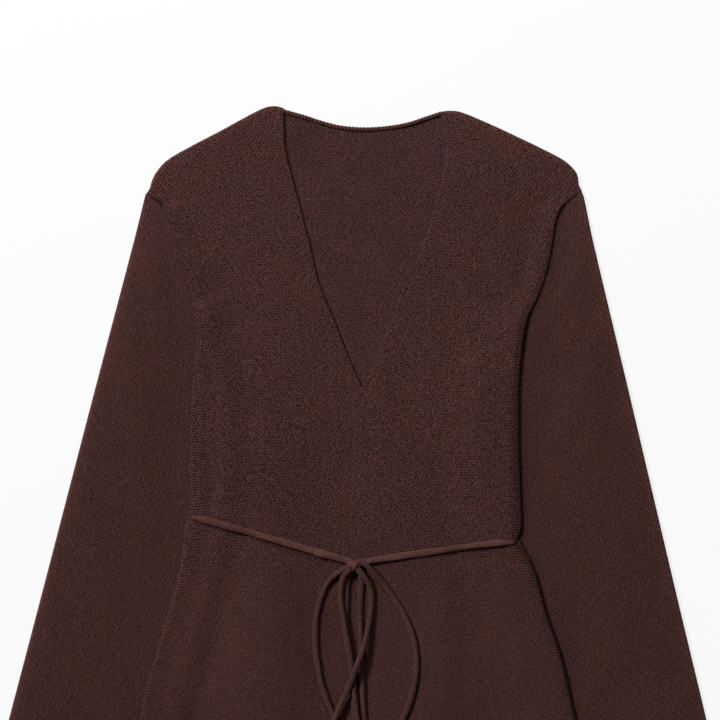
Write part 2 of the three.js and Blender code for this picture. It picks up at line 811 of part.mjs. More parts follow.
// The tie's flattened round section, with its width across the cord and its thickness upright.
function tieSection() {
  const sides = 8;
  const points = Array.from({ length: sides }, (_, k) => {
    const angle = 2 * Math.PI * (k + 0.5) / sides;
    return new THREE.Vector2(TIE_THICKNESS / 2 * Math.cos(angle), TIE_WIDTH / 2 * Math.sin(angle));
  });
  return new THREE.Shape(points);
}

// A curve along which a section stays flat: its frames keep the section's thickness upright.
class FlatLaidCurve extends THREE.CatmullRomCurve3 {
  computeFrenetFrames(segments) {
    const up = new THREE.Vector3(0, 0, 1);
    const tangents = Array.from({ length: segments + 1 }, (_, i) => this.getTangentAt(i / segments));
    const normals = tangents.map((t) => up.clone().addScaledVector(t, -t.z).normalize());
    const binormals = tangents.map((t, i) => t.clone().cross(normals[i]));
    return { tangents, normals, binormals };
  }
}

// The middle line of a stretch of the tie, laid on the cloth and on the strands beneath it.
// It keeps the height of the highest cloth a little way before and behind each point.
const TIE_SAMPLE = 8;

function tiePath(rows) {
  const plan = planCurve(rows);
  const layer = through(rows.map((row, i) => ({ share: plan.shares[i], layer: row.layer })), 'share', 'layer');
  const count = Math.round(plan.reach / TIE_SAMPLE);
  const restAt = (t) => {
    const near = [-1, 0, 1].map((step) => plan(Math.min(Math.max(t + step / count, 0), 1)));
    return Math.max(...near.map((point) => topHeight(point.across, point.drop)));
  };
  const points = Array.from({ length: count + 1 }, (_, i) => {
    const t = i / count;
    const height = restAt(t) + SEAM_GAP + TIE_THICKNESS / 2 + layer(t) * (TIE_THICKNESS + SEAM_GAP);
    return place(plan(t), height);
  });
  return new FlatLaidCurve(points);
}

function tieStretch(rows, steps) {
  const geometry = new THREE.ExtrudeGeometry(tieSection(), {
    steps,
    bevelEnabled: false,
    extrudePath: tiePath(rows),
  });
  return geometry;
}

// A closed geometry as a solid that can be cut, and back again.
function solidOf(geometry) {
  const plain = geometry.clone();
  plain.deleteAttribute('normal');
  plain.deleteAttribute('uv');
  const merged = mergeVertices(plain, 1e-4);
  return new wasm.Manifold(new wasm.Mesh({
    numProp: 3,
    vertProperties: Float32Array.from(merged.attributes.position.array),
    triVerts: Uint32Array.from(merged.index.array),
  }));
}

function geometryOf(solid) {
  const mesh = solid.getMesh();
  const geometry = new THREE.BufferGeometry();
  geometry.setAttribute('position', new THREE.Float32BufferAttribute(mesh.vertProperties, 3));
  geometry.setIndex(Array.from(mesh.triVerts));
  return geometry;
}

// The knot: a rounded lump on the fronts, grown by a margin where strands are cut clear of it.
function knotGeometry(margin) {
  const bottom = topHeight(KNOT.across, KNOT.drop) + SEAM_GAP;
  const geometry = new THREE.SphereGeometry(1, 20, 12);
  geometry.rotateX(Math.PI / 2);
  geometry.scale(KNOT.wide + margin, KNOT.long + margin, KNOT.high + margin);
  geometry.translate(KNOT.across, -KNOT.drop, bottom + KNOT.high);
  return geometry;
}

const knotClearance = solidOf(knotGeometry(SEAM_GAP));

function cutAtKnot(geometry) {
  const pieces = solidOf(geometry).subtract(knotClearance).decompose();
  const largest = pieces.reduce((a, b) => (b.volume() > a.volume() ? b : a));
  return geometryOf(largest);
}

const group = new THREE.Group();

function addPiece(name, geometry, color, roughness) {
  const material = new THREE.MeshStandardMaterial({ color, roughness, metalness: 0 });
  const mesh = new THREE.Mesh(geometry, material);
  mesh.name = name;
  group.add(mesh);
}

addPiece('back', clothWall(backRows(), CLOTH), KNIT_BROWN, 0.95);
addPiece('front_under', clothWall(frontRows(leftSide, underEdge, frontHeight), CLOTH), KNIT_BROWN, 0.95);
addPiece('front_over', clothWall(frontRows(rightSide, overEdge, overHeight), CLOTH), KNIT_BROWN, 0.95);
addPiece('sleeve_left', clothWall(sleeveRows(leftSide, LEFT_SLEEVE), CLOTH), KNIT_BROWN, 0.95);
addPiece('sleeve_right', clothWall(sleeveRows(rightSide, RIGHT_SLEEVE), CLOTH), KNIT_BROWN, 0.95);
addPiece('neck_edge', neckRoll(), KNIT_BROWN, 0.95);
addPiece('tie_left', cutAtKnot(tieStretch(LEFT_TIE, 12)), TIE_BROWN, 0.9);
addPiece('tie_right', cutAtKnot(tieStretch(RIGHT_TIE, 12)), TIE_BROWN, 0.9);
addPiece('loop_left', cutAtKnot(tieStretch(LEFT_LOOP, 21)), TIE_BROWN, 0.9);
addPiece('loop_right', cutAtKnot(tieStretch(RIGHT_LOOP, 21)), TIE_BROWN, 0.9);
addPiece('end_left', cutAtKnot(tieStretch(LEFT_END, 12)), TIE_BROWN, 0.9);
addPiece('end_right', cutAtKnot(tieStretch(RIGHT_END, 14)), TIE_BROWN, 0.9);
addPiece('knot', knotGeometry(0), TIE_BROWN, 0.9);

// The origin: on the surface, under the middle of the garment's outline.
group.updateMatrixWorld(true);
const box = new THREE.Box3().setFromObject(group, true);
const middle = box.getCenter(new THREE.Vector3());
group.position.set(-middle.x, -middle.y, -box.min.z);

export default group;
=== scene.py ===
"""Looks of a knitted wrap cardigan that lies flat on its back, front side up.

Tables of the cut are in millimetres: "across" runs from the centre line to the viewer's right
and "drop" runs down the garment from its high shoulder points, as in the part's source.
Heights are millimetres above the surface that it lies on. Meshes are made in metres.
"""
import math

import bpy
import numpy as np
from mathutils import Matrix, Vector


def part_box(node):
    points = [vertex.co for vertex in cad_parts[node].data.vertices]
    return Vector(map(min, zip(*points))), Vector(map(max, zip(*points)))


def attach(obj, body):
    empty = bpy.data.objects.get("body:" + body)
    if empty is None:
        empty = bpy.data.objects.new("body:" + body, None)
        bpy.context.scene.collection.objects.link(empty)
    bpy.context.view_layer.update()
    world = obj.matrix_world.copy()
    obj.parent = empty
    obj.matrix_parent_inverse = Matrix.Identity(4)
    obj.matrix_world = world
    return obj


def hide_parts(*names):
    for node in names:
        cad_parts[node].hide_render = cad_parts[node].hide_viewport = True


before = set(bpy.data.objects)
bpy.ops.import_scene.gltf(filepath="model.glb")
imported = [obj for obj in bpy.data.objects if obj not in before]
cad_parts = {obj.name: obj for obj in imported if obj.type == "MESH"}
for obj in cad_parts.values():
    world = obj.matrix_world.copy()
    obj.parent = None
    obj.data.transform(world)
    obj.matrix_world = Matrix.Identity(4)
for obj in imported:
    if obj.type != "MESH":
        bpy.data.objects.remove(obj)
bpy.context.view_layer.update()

MM = 0.001
CLOTH = 2.0
SEAM_GAP = 0.3
LAYER = CLOTH + 0.7
HALF = CLOTH / 2

HEM_DROP = 700
TIE_THICKNESS = 4.0
PULLED_FLAT = 0.84
NECK_ROLL = 4.6
SHOULDER_FOLD = 1.6
EDGE_LIFT = 0.9
EDGE_ROLL = EDGE_LIFT + LAYER - HALF - 0.45
FOLD_BASE = SHOULDER_FOLD + HALF


def table(*rows):
    """Columns of a table: a row for each point, the first column the one that it is read by."""
    return np.array(rows, float).T


# (drop, across) down each side edge, from the shoulder tip by the underarm to the hem
LEFT_SIDE = table(
    (87.5, -212.5), (92, -206), (97, -198), (104, -193.5), (125, -187), (157, -177.5),
    (190, -169), (225, -163.5), (261, -166), (300, -168.5), (360, -170.5), (406, -170),
    (422, -175), (461, -180), (493, -188), (533, -200), (573, -212), (605, -219.5),
    (653, -227), (700, -233),
)
RIGHT_SIDE = table(
    (84.5, 220.5), (93, 210), (104, 200.5), (115, 196), (143, 191.5), (165, 187),
    (190, 179), (213, 168), (237, 163), (277, 159.5), (320, 159.2), (383, 161),
    (423, 162), (435, 158), (447, 165), (468, 176), (508, 187), (548, 201),
    (608, 215), (650, 224.5), (700, 234),
)
# (across, drop) along each shoulder fold, from the armhole to the neck
LEFT_SHOULDER = table(
    (-212.5, 87.5), (-209.5, 77), (-204, 65), (-193, 53), (-173, 41), (-139, 23),
    (-106, 5), (-93, -0.5), (-84, -1), (-76.5, 1),
)
RIGHT_SHOULDER = table(
    (220.5, 84.5), (218.8, 74), (216, 65), (205, 54), (181, 41), (156, 29),
    (130, 17), (101, 5), (90, 3.5), (80, 4.5),
)
# (drop, across) down each front's free edge: the V, then on to the hem
UNDER_EDGE = table(
    (1, -76.5), (33, -76), (55, -72), (93, -62), (139, -50), (177, -41), (213, -26),
    (244, -14), (281, 2), (340, 28), (400, 50), (450, 62), (550, 68), (700, 64),
)
OVER_EDGE = table(
    (4.5, 80), (20, 84.5), (40, 86), (69, 82), (110, 72), (151, 58), (184, 43),
    (223, 27.5), (255, 15), (277, 4), (291, -7), (330, -6), (361, -7), (389, -9),
    (410, -12), (431, -20), (463, -36), (490, -43), (543, -46), (603, -38), (700, -31),
)
# (across, drop) along the top of the rolled edge round the back neck
NECK = table(
    (-76, 2), (-55, 8), (-40, 13), (-20, 18), (5, 20), (30, 18.3), (50, 14.5),
    (65, 9.5), (80, 4.5),
)
# (drop, inset) of the back's edge and (drop, reach) of the sleeve's end at the body's edge
BACK_INSET = table(
    (88, 4.5), (104, 3.5), (180, 3.5), (203, 2.9), (217, 1.3), (240, 1.2), (290, 2.2), (700, 2.4),
)
SLEEVE_REACH = table((80, 5), (90, 5), (100, 3.6), (124, 2.5), (240, 2.5))
# (drop, across) down each sleeve's outer fold and down its inner edge under the body
LEFT_SLEEVE = table(
    (87.5, -214.6), (92, -215.8), (133, -226), (293, -268), (493, -320), (613, -351.5), (683, -370),
)
RIGHT_SLEEVE = table(
    (84.5, 221.6), (90, 224), (133, 233), (293, 271), (493, 318), (593, 342), (683, 363),
)
LEFT_INNER = table(
    (226, -161), (253, -151), (293, -145), (343, -143), (393, -145), (433, -150),
    (593, -190), (721, -224.8),
)
RIGHT_INNER = table(
    (233, 161), (263, 147), (293, 141), (323, 139), (363, 140), (433, 148),
    (593, 188), (719, 217.2),
)
# (drop on the outer fold, drop on the inner edge) of rows across a sleeve
SLEEVE_ROWS = table(
    (97, 98), (108, 113), (125, 135), (145, 158), (165, 182), (185, 206),
    (203, 227), (225, 250), (262, 290), (320, 352), (390, 425), (480, 517), (580, 618),
    (683, 720),
)
# (across, drop, wide, long, rise) of the fronts' large soft swells, fuller than the part's own
SWELLS = [
    (-106, 590, 88, 200, 6.4),
    (-100, 345, 58, 130, 3.8),
    (94, 600, 62, 160, 3.2),
    (92, 330, 56, 130, 1.8),
]
# (across, drop, layer) along the tie; "layer" counts the strands beneath
LEFT_TIE = table(
    (-168, 409.5, 0), (-145, 415.5, 0), (-120, 422.5, 0), (-95, 430, 0),
    (-65, 438.5, 0), (-40, 446, 0.1), (-25, 450, 0.3), (-7, 455.5, 0.3),
)
RIGHT_TIE = table(
    (154, 435.2, 0), (140, 435.6, 0), (115, 438.4, 0), (75, 444.2, 0),
    (35, 449.8, 0), (10, 453.8, 0.2), (-7, 456, 0.3),
)
LEFT_LOOP = table(
    (-9, 459, 1), (-19, 463.5, 0.6), (-31, 474, 0.1), (-39.5, 492, 0), (-44.3, 514, 0),
    (-44.6, 540, 0), (-41, 566, 0), (-35, 588, 0), (-26.5, 608, 0), (-20, 622, 0.4),
    (-15, 632, 0.9), (-9, 637.5, 1.05), (-3.6, 634, 1.1), (-1.8, 623, 1.15), (-4, 602, 1.12),
    (-6.5, 578, 1.1),
    (-9, 556, 1.1), (-13, 534, 1.1), (-17, 510, 1.1), (-19.5, 488, 1.15),
    (-17, 470, 1.3), (-9, 462, 1.7),
)
RIGHT_LOOP = table(
    (-5, 453, 1.4), (5, 457, 1.35), (15, 467, 0.9), (25, 479, 0.1), (38, 498, 0),
    (49, 519, 0), (55.5, 541, 0), (56, 566, 0.1), (52, 588, 0.1), (44, 609, 0.1),
    (34, 626, 0), (22, 639, 0), (9.5, 636, 0), (4.3, 615, 0), (2.6, 592, 0),
    (1.4, 566, 0), (0.8, 538, 0), (0, 508, 0), (0.5, 486, 0), (1, 470, 0.1), (0, 460, 0.3),
)
LEFT_END = table(
    (-7.5, 460, 0), (-11, 469, 0), (-13.4, 484, 0), (-14, 508, 0), (-13.5, 532, 0),
    (-9.5, 556, 0), (-8, 580, 0), (-6, 604, 0), (-5, 628, 0), (-6, 652, 0), (-3, 684, 0),
)
RIGHT_END = table(
    (-3, 461, 1.5), (4, 470, 1.35), (9.7, 480, 0.6), (11.3, 496, 0.2), (9, 516, 0.6),
    (4, 538, 1.5), (-2.5, 557, 2.25), (-8, 571, 2.25), (-14, 585, 1.7), (-20, 598, 1.3),
    (-25, 611, 1.3), (-30, 625, 0.8), (-36, 645, 0), (-41, 672, 0), (-40, 690, 0),
)
KNOT = {"across": -6, "drop": 458, "wide": 8, "long": 6.4, "high": 5.4}

# How far the part's back reaches to the left of the centre line at the hem
BACK_REACH = 232.5
back_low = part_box("back")[0]
SHIFT_X = back_low[0] / MM + BACK_REACH
SHIFT_Y = back_low[1] / MM + HEM_DROP


def smooth(t):
    """Rises from 0 to 1 with level ends: 3t^2 - 2t^3, held outside 0 to 1."""
    c = np.clip(t, 0, 1)
    return c * c * (3 - 2 * c)


def mix(a, b, t):
    """The straight blend from a to b."""
    return a + (b - a) * t


def through(keys, values):
    """A smooth line through points: cubic pieces whose slope at each point is the slope
    between its neighbours, held level beyond both ends."""
    k = np.asarray(keys, float)
    v = np.asarray(values, float)
    before = np.maximum(np.arange(len(k)) - 1, 0)
    after = np.minimum(np.arange(len(k)) + 1, len(k) - 1)
    slope = (v[after] - v[before]) / (k[after] - k[before])

    def at(x):
        x = np.clip(x, k[0], k[-1])
        i = np.clip(np.searchsorted(k, x, side="left") - 1, 0, len(k) - 2)
        step = k[i + 1] - k[i]
        t = (x - k[i]) / step
        rise = v[i + 1] - v[i]
        a = slope[i] * step - rise
        b = rise - slope[i + 1] * step
        return v[i] + rise * t + t * (1 - t) * (a * (1 - t) + b * t)

    return at


def run_along(steps):
    """How far along a line each point lies, from the lengths of the steps between them."""
    return np.concatenate([[0], np.cumsum(steps)])


def plan_curve(across, drop):
    """A plan curve through points, run from 0 to 1 by the length of its chords."""
    run = run_along(np.hypot(np.diff(across), np.diff(drop)))
    share = run / run[-1]
    x, y = through(share, across), through(share, drop)

    def at(t):
        return x(t), y(t)

    at.shares, at.reach = share, run[-1]
    return at


class Side:
    """One side of the garment: its edge, its shoulder fold and its sleeve."""

    def __init__(self, sign, edge, shoulder, inner, outer):
        self.sign = sign
        self.tip = edge[0][0]
        self.underarm = inner[0][0]
        self.edge = through(edge[0], edge[1])
        self.inner = through(inner[0], inner[1])
        self.outer = through(outer[0], outer[1])
        self.shoulder = plan_curve(shoulder[0], shoulder[1])

    def out_of_shoulder(self, g):
        """The unit plan direction out of the shoulder fold, square to a short chord of it."""
        ax, ad = self.shoulder(np.maximum(g - 0.02, 0))
        bx, bd = self.shoulder(np.minimum(g + 0.02, 1))
        length = np.hypot(bx - ax, bd - ad)
        return self.sign * (ad - bd) / length, self.sign * (bx - ax) / length


left_side = Side(-1, LEFT_SIDE, LEFT_SHOULDER, LEFT_INNER, LEFT_SLEEVE)
right_side = Side(1, RIGHT_SIDE, RIGHT_SHOULDER, RIGHT_INNER, RIGHT_SLEEVE)
back_inset = through(*BACK_INSET)
sleeve_reach = through(*SLEEVE_REACH)
under_edge = through(*UNDER_EDGE)
over_edge = through(*OVER_EDGE)
neck_top = through(*NECK)


def layers_below(across, drop):
    """Layers of sleeve under the back: 0 in its middle, rising to 2 over each sleeve."""
    total = 0
    for side in (left_side, right_side):
        beyond = side.sign * (side.inner(drop) - across)
        on_sleeve = 1 - smooth((beyond - 5) / (30 if side.sign < 0 else 60))
        below_arm = smooth((drop - side.underarm + 45) / 40)
        total = total + 2 * on_sleeve * below_arm
    return total


def front_height(across, drop):
    """Middle height of the fronts: one layer over the back, one more on the armhole seam,
    a lift at the side edges and round swells, each fading from its crest to its ellipse."""
    below = layers_below(across, drop)
    edge = np.where(across < 0, -left_side.edge(drop), right_side.edge(drop))
    tip = np.where(across < 0, left_side.tip, right_side.tip)
    inset = edge - np.abs(across)
    seam = (1 - smooth(inset / 28)) * smooth((drop - tip) / 18)
    swell = sum(
        rise * smooth(1 - np.hypot((across - x) / wide, (drop - d) / long))
        for x, d, wide, long, rise in SWELLS
    )
    lift = EDGE_LIFT * (1 - smooth(inset / 22))
    return HALF + LAYER * (1 + below + seam * (1 - below / 2)) + lift + swell


def over_height(across, drop):
    """Middle height of the over front: one layer more where it laps on the under front."""
    lap = 1 - smooth((across - under_edge(drop) - 14) / 30)
    return front_height(across, drop) + LAYER * lap


def top_height(across, drop):
    """Height of the uppermost cloth, blended up to the over front just beside its edge."""
    on_over = smooth((across - over_edge(drop) + 9) / 7)
    return mix(front_height(across, drop), over_height(across, drop), on_over) + HALF


# (across, drop, lean, long, wide, rise) of soft folds in the fronts: "lean" is the turn of the
# fold's line from straight down, in degrees, and a negative rise is a trough
FRONT_FOLDS = [
    (-150, 150, -20, 60, 9, 0.35), (-128, 215, -24, 70, 11, -0.3), (-60, 330, -22, 90, 13, 0.35),
    (-78, 240, -16, 80, 12, -0.25), (-45, 400, -35, 60, 10, -0.3), (-140, 330, -4, 90, 12, -0.3),
    (-120, 400, 66, 60, 7, 0.3), (-65, 420, 70, 50, 7, -0.25), (-55, 500, 14, 70, 12, -0.45),
    (-82, 540, 10, 90, 12, 0.4), (-150, 500, 16, 80, 12, -0.35), (-178, 620, 14, 80, 12, 0.35),
    (-128, 640, 6, 70, 12, -0.35), (-30, 660, 2, 50, 11, 0.3), (150, 150, 18, 60, 9, 0.35),
    (128, 205, 20, 70, 11, -0.3), (100, 130, 22, 70, 12, 0.25), (48, 250, 25, 70, 11, -0.3),
    (20, 330, 14, 80, 12, 0.35), (60, 380, 30, 60, 10, -0.3), (130, 360, 3, 90, 12, -0.35),
    (45, 425, -72, 50, 7, 0.25), (105, 418, -78, 55, 7, -0.25), (80, 500, -14, 80, 12, 0.4),
    (112, 540, -12, 90, 12, -0.4), (150, 500, -20, 80, 12, 0.35), (170, 600, -14, 90, 12, -0.35),
    (60, 640, -6, 60, 12, 0.3), (20, 520, -4, 60, 9, -0.3), (-105, 120, 60, 50, 10, 0.2),
    (110, 70, -62, 55, 10, 0.25), (-118, 60, 64, 60, 10, -0.2),
]
SLEEVE_FOLDS = [
    (-195, 200, 30, 40, 8, 0.5), (-208, 260, 18, 80, 11, -0.5), (-232, 240, 16, 80, 12, 0.5),
    (-240, 360, 16, 90, 12, -0.5), (-215, 420, 12, 90, 13, 0.5), (-268, 420, 15, 90, 12, 0.5),
    (-290, 520, 15, 90, 12, -0.5), (-245, 560, 14, 90, 13, 0.5), (-320, 620, 14, 70, 12, 0.5),
    (-275, 650, 14, 60, 12, -0.5), (-190, 330, 6, 60, 9, -0.4), (202, 190, -28, 40, 8, 0.5),
    (215, 250, -16, 80, 11, -0.5), (236, 250, -14, 80, 12, 0.5), (240, 350, -14, 90, 12, -0.5),
    (212, 420, -12, 90, 13, 0.5), (268, 430, -13, 90, 12, 0.5), (290, 520, -13, 90, 12, -0.5),
    (240, 570, -12, 90, 13, 0.5), (315, 630, -12, 70, 12, 0.5), (268, 650, -12, 60, 12, -0.5),
    (186, 320, -4, 60, 9, -0.4),
]


def fold_relief(across, drop, folds):
    """Sum of soft folds: each is a bell across its leaning line, fading to nothing at the
    fold's two ends, with a slight bow so that no fold is straight."""
    total = np.zeros(np.broadcast(across, drop).shape)
    for x, d, lean, long, wide, rise in folds:
        c, s = math.cos(math.radians(lean)), math.sin(math.radians(lean))
        along = (drop - d) * c + (across - x) * s
        aside = (across - x) * c - (drop - d) * s + wide * 0.6 * np.sin(along / long * 1.9)
        total = total + rise * np.exp(-((aside / wide) ** 2)) * smooth(1.6 - np.abs(along) / long)
    return total


def in_metres(across, drop, height):
    """Points of the frame from plan points and heights."""
    return np.stack(
        np.broadcast_arrays((across + SHIFT_X) * MM, (SHIFT_Y - drop) * MM, height * MM), axis=-1
    )


def unit(v):
    """Vectors made one long."""
    return v / np.maximum(np.linalg.norm(v, axis=-1, keepdims=True), 1e-12)


# The share of the cloth's thickness kept at the side seams, (drop, radius) of the roll of each
# front's side edge, and (drop, fall) of the slope with which each front sinks to it
SEAM_THIN = 0.75
LEFT_ROLL = through(*table((100, EDGE_ROLL), (190, EDGE_ROLL), (270, 3.0), (700, 3.0)))
RIGHT_ROLL = through(*table(
    (100, EDGE_ROLL), (200, 2.4), (300, 3.2), (440, 3.6), (520, 3.6), (700, 3.6)
))
LEFT_FALL = through(*table((110, 0), (180, 0.8), (420, 1.0), (460, 0.3), (700, 0.3)))
RIGHT_FALL = through(*table(
    (110, 0), (160, 0.8), (230, 1.9), (300, 2.9), (410, 3.2), (440, 2.6), (480, 0.6), (700, 0.6)
))
# (drop, depth) of the painted shadow along the right side's seam
RIGHT_SEAM_PAINTED_SHADOW = through(*table(
    (110, 0), (150, 0.2), (200, 0.6), (300, 1), (430, 1), (455, 0.75), (700, 0.65)
))

# The start and the direction, across and drop, of the painted shade line in the crease at the left
# armhole's top
CREASE_SHADE_START = (-210.0, 90.2)
CREASE_SHADE_WAY = (13.5, 7.4)
# (across, drop, wide, long, change) of large soft patches of painted light and shade, where the
# colour is made paler or darker
PAINTED_LIGHT_AND_SHADE_PATCHES = [
    (-140, 530, 76, 190, 0.14), (-56, 500, 46, 240, -0.13), (30, 275, 62, 150, 0.09),
    (0, 380, 26, 60, 0.09), (-182, 130, 44, 110, 0.08), (212, 235, 44, 190, 0.11),
    (-115, 410, 56, 90, 0.07), (-60, 20, 30, 40, -0.11), (-100, 260, 120, 240, 0.03),
    (95, 300, 80, 200, 0.03),
]


def rim_highlight_runs():
    """The outer folds of both sleeves and both shoulder folds as plan points, with the strength of
    the painted highlight along each, which stands in for the light of the white surroundings on the
    nap."""
    runs = []
    for side, rows in ((left_side, LEFT_SLEEVE), (right_side, RIGHT_SLEEVE)):
        d = np.linspace(rows[0][0], rows[0][-1], 60)
        runs.append((np.stack([side.outer(d), d], axis=-1), 1.0))
        g = np.linspace(0, 0.97, 40)
        out = np.stack(side.out_of_shoulder(g), axis=-1)
        runs.append((np.stack(side.shoulder(g), axis=-1) + out * 1.5, 0.9))
    return runs


def painted_light_and_shade(points):
    """Painted light and shade in the yarn's tone at points, as a factor on its colour. A painted
    highlight makes it paler towards the outer folds, by two fading steps of the distance, and
    painted light and shade vary it in large soft patches. Painted shade makes it darker along the
    right side's seam, fading to both sides, in the small hollow where the neck roll runs under the
    left front, and in the short tight crease where the left sleeve meets the shoulder: a bell
    across the crease's line that fades at its ends."""
    x, d = points[:, 0] / MM - SHIFT_X, SHIFT_Y - points[:, 1] / MM
    tone = np.ones(len(x))
    # Painted highlight: paler towards the outer folds.
    for line, strength in rim_highlight_runs():
        start, way = line[:-1], np.diff(line, axis=0)
        rest = np.stack([x, d], axis=-1)[:, None] - start
        share = np.clip((rest * way).sum(-1) / (way * way).sum(-1), 0, 1)
        away = np.linalg.norm(rest - way * share[..., None], axis=-1).min(axis=1)
        reach = 7.5 + 10 * smooth((330 - d) / 250)
        rise = strength * (0.58 * np.exp(-away / 3.0) + 0.30 * np.exp(-away / reach))
        tone = np.maximum(tone, 1 + rise)
    # Painted light and shade in large soft patches.
    for px, pd, wide, long, change in PAINTED_LIGHT_AND_SHADE_PATCHES:
        tone = tone * (1 + change * smooth(1 - np.hypot((x - px) / wide, (d - pd) / long)))
    # Painted shadow along the right side's seam, fading to both sides.
    beyond = x - right_side.edge(d)
    fade = np.exp(-np.abs(beyond) / np.where(beyond < 0, 7.0, 5.0))
    tone = tone * (1 - 0.5 * RIGHT_SEAM_PAINTED_SHADOW(d) * fade)
    # Painted shade in the small hollow where the neck roll runs under the left front.
    tone = tone * (1 - 0.4 * np.exp(-(((x + 67) / 6) ** 2) - ((d - 9) / 4) ** 2))
    # Painted shade in the short tight crease where the left sleeve meets the shoulder.
    start, way = CREASE_SHADE_START, unit(np.array(CREASE_SHADE_WAY))
    along = (x - start[0]) * way[0] + (d - start[1]) * way[1]
    aside = (x - start[0]) * way[1] - (d - start[1]) * way[0] + 0.03 * (along - 7) ** 2 - 0.8
    ends = smooth((along + 1) / 3) * smooth((17.5 - along) / 4)
    return tone * (1 - 0.9 * np.exp(-((aside / 1.2) ** 2)) * ends)


def add_object(name, data):
    """A new object in the scene."""
    piece = bpy.data.objects.new(name, data)
    bpy.context.scene.collection.objects.link(piece)
    return piece


def mesh_piece(name, points, faces, corner_uv, material, inset=None):
    """An object from points, four-cornered faces, the map's place at each face's corners and,
    for a front, each point's distance in from the side edge in millimetres."""
    mesh = bpy.data.meshes.new(name)
    mesh.from_pydata(points.reshape(-1, 3).tolist(), [], faces.tolist())
    layer = mesh.uv_layers.new(name="knit")
    layer.data.foreach_set("uv", corner_uv.reshape(-1).astype(np.float32))
    # Every piece carries painted light and shade in its 'tone' attribute.
    values = {"tone": painted_light_and_shade(points.reshape(-1, 3))}
    if inset is not None:
        values = {"inset": inset, **values}
    for key, value in values.items():
        attribute = mesh.attributes.new(key, "FLOAT", "POINT")
        attribute.data.foreach_set("value", value.astype(np.float32))
    mesh.polygons.foreach_set("use_smooth", np.ones(len(faces), bool))
    mesh.materials.append(material)
    mesh.update()
    return add_object(name, mesh)


def grid_faces(rows, columns, start=0):
    """Corner indices of the cells of a grid of points, counted along its rows."""
    i, j = np.meshgrid(np.arange(rows - 1), np.arange(columns - 1), indexing="ij")
    a = start + i * columns + j
    return np.stack([a, a + 1, a + columns + 1, a + columns], axis=-1).reshape(-1, 4)


def wall(name, middle, uv, material, thickness=None, inset=None):
    """A closed wall of cloth: the grid's middle surface moved half the thickness to each
    side along its normals, with the two skins joined round the rim."""
    rows, columns = middle.shape[:2]
    along_row = np.gradient(middle, axis=1)
    up_rows = np.gradient(middle, axis=0)
    normal = unit(np.cross(along_row, up_rows))
    half = np.full((rows, columns), HALF) if thickness is None else thickness / 2
    upper = middle + normal * half[..., None] * MM
    lower = middle - normal * half[..., None] * MM
    points = np.concatenate([upper.reshape(-1, 3), lower.reshape(-1, 3)])
    top = grid_faces(rows, columns)
    under = grid_faces(rows, columns, rows * columns)[:, ::-1]
    at = np.arange(rows * columns).reshape(rows, columns)
    rim = np.concatenate([at[0], at[1:, -1], at[-1, -2::-1], at[-2:0:-1, 0]])
    after = np.roll(rim, -1)
    edge = np.stack([rim, rim + rows * columns, after + rows * columns, after], axis=1)
    faces = np.concatenate([top, under, edge])
    flat = np.concatenate([uv.reshape(-1, 2), uv.reshape(-1, 2)])
    if inset is not None:
        inset = np.concatenate([inset.reshape(-1)] * 2)
    return mesh_piece(name, points, faces, flat[faces], material, inset)


def rolled(run, turn, radius):
    """Plan distance out and fall after a run along cloth that bends down round a radius;
    "turn" is 1 for a full quarter turn and 0 for a flat edge."""
    bend = np.maximum(turn, 0.01) / radius
    return np.sin(run * bend) / bend, (1 - np.cos(run * bend)) / bend


def fold_band(g):
    """How far a front's fold runs on under its shoulder, most in the middle of the shoulder."""
    return mix(4, 16, np.sin(math.pi * g))


def front_patch(side, free_edge):
    """The point (g, f) of a front's panel: the blend of its side and free edges plus the
    blend of its hem and shoulder line, less the blend of their four corners."""
    neck_drop = float(side.shoulder(1.0)[1])

    def outer(f):
        d = mix(HEM_DROP, side.tip, f)
        return np.stack([side.edge(d), d], axis=-1)

    def inner(f):
        d = mix(HEM_DROP, neck_drop + FOLD_BASE, f)
        return np.stack([free_edge(d), d], axis=-1)

    def low(g):
        x = mix(side.edge(HEM_DROP), free_edge(HEM_DROP), g)
        return np.stack([x, np.full_like(x, HEM_DROP)], axis=-1)

    def high(g):
        inward = FOLD_BASE * smooth(g / 0.05)
        x, d = side.shoulder(g)
        ox, od = side.out_of_shoulder(g)
        return np.stack([x - ox * inward, d - od * inward], axis=-1)

    return coons(outer, inner, low, high)


def coons(outer, inner, low, high):
    """A patch inside four plan edges: the straight blends of opposite edges less their corners."""
    zero, one = np.zeros(()), np.ones(())

    def at(g, f):
        g3, f3 = g[..., None], f[..., None]
        sides = mix(outer(f), inner(f), g3)
        ends = mix(low(g), high(g), f3)
        corners = mix(mix(low(zero), low(one), g3), mix(high(zero), high(one), g3), f3)
        return sides + ends - corners

    at.outer, at.inner = outer, inner
    return at


def courses(side, across, drop):
    """The knit's map: wales by "across" and courses by "drop" less an arch, so that the
    courses bow up in the middle of a front and fall towards its edges."""
    crest = side.sign * mix(92, 105, smooth((drop - 60) / 200))
    reach = across - crest
    outward = mix(0.0030, 0.0012, smooth((drop - 60) / 160))
    inward = mix(0.0022, 0.0016, smooth((drop - 100) / 250))
    arch = np.where(side.sign * reach > 0, outward, inward) * reach ** 2
    return across, drop - arch


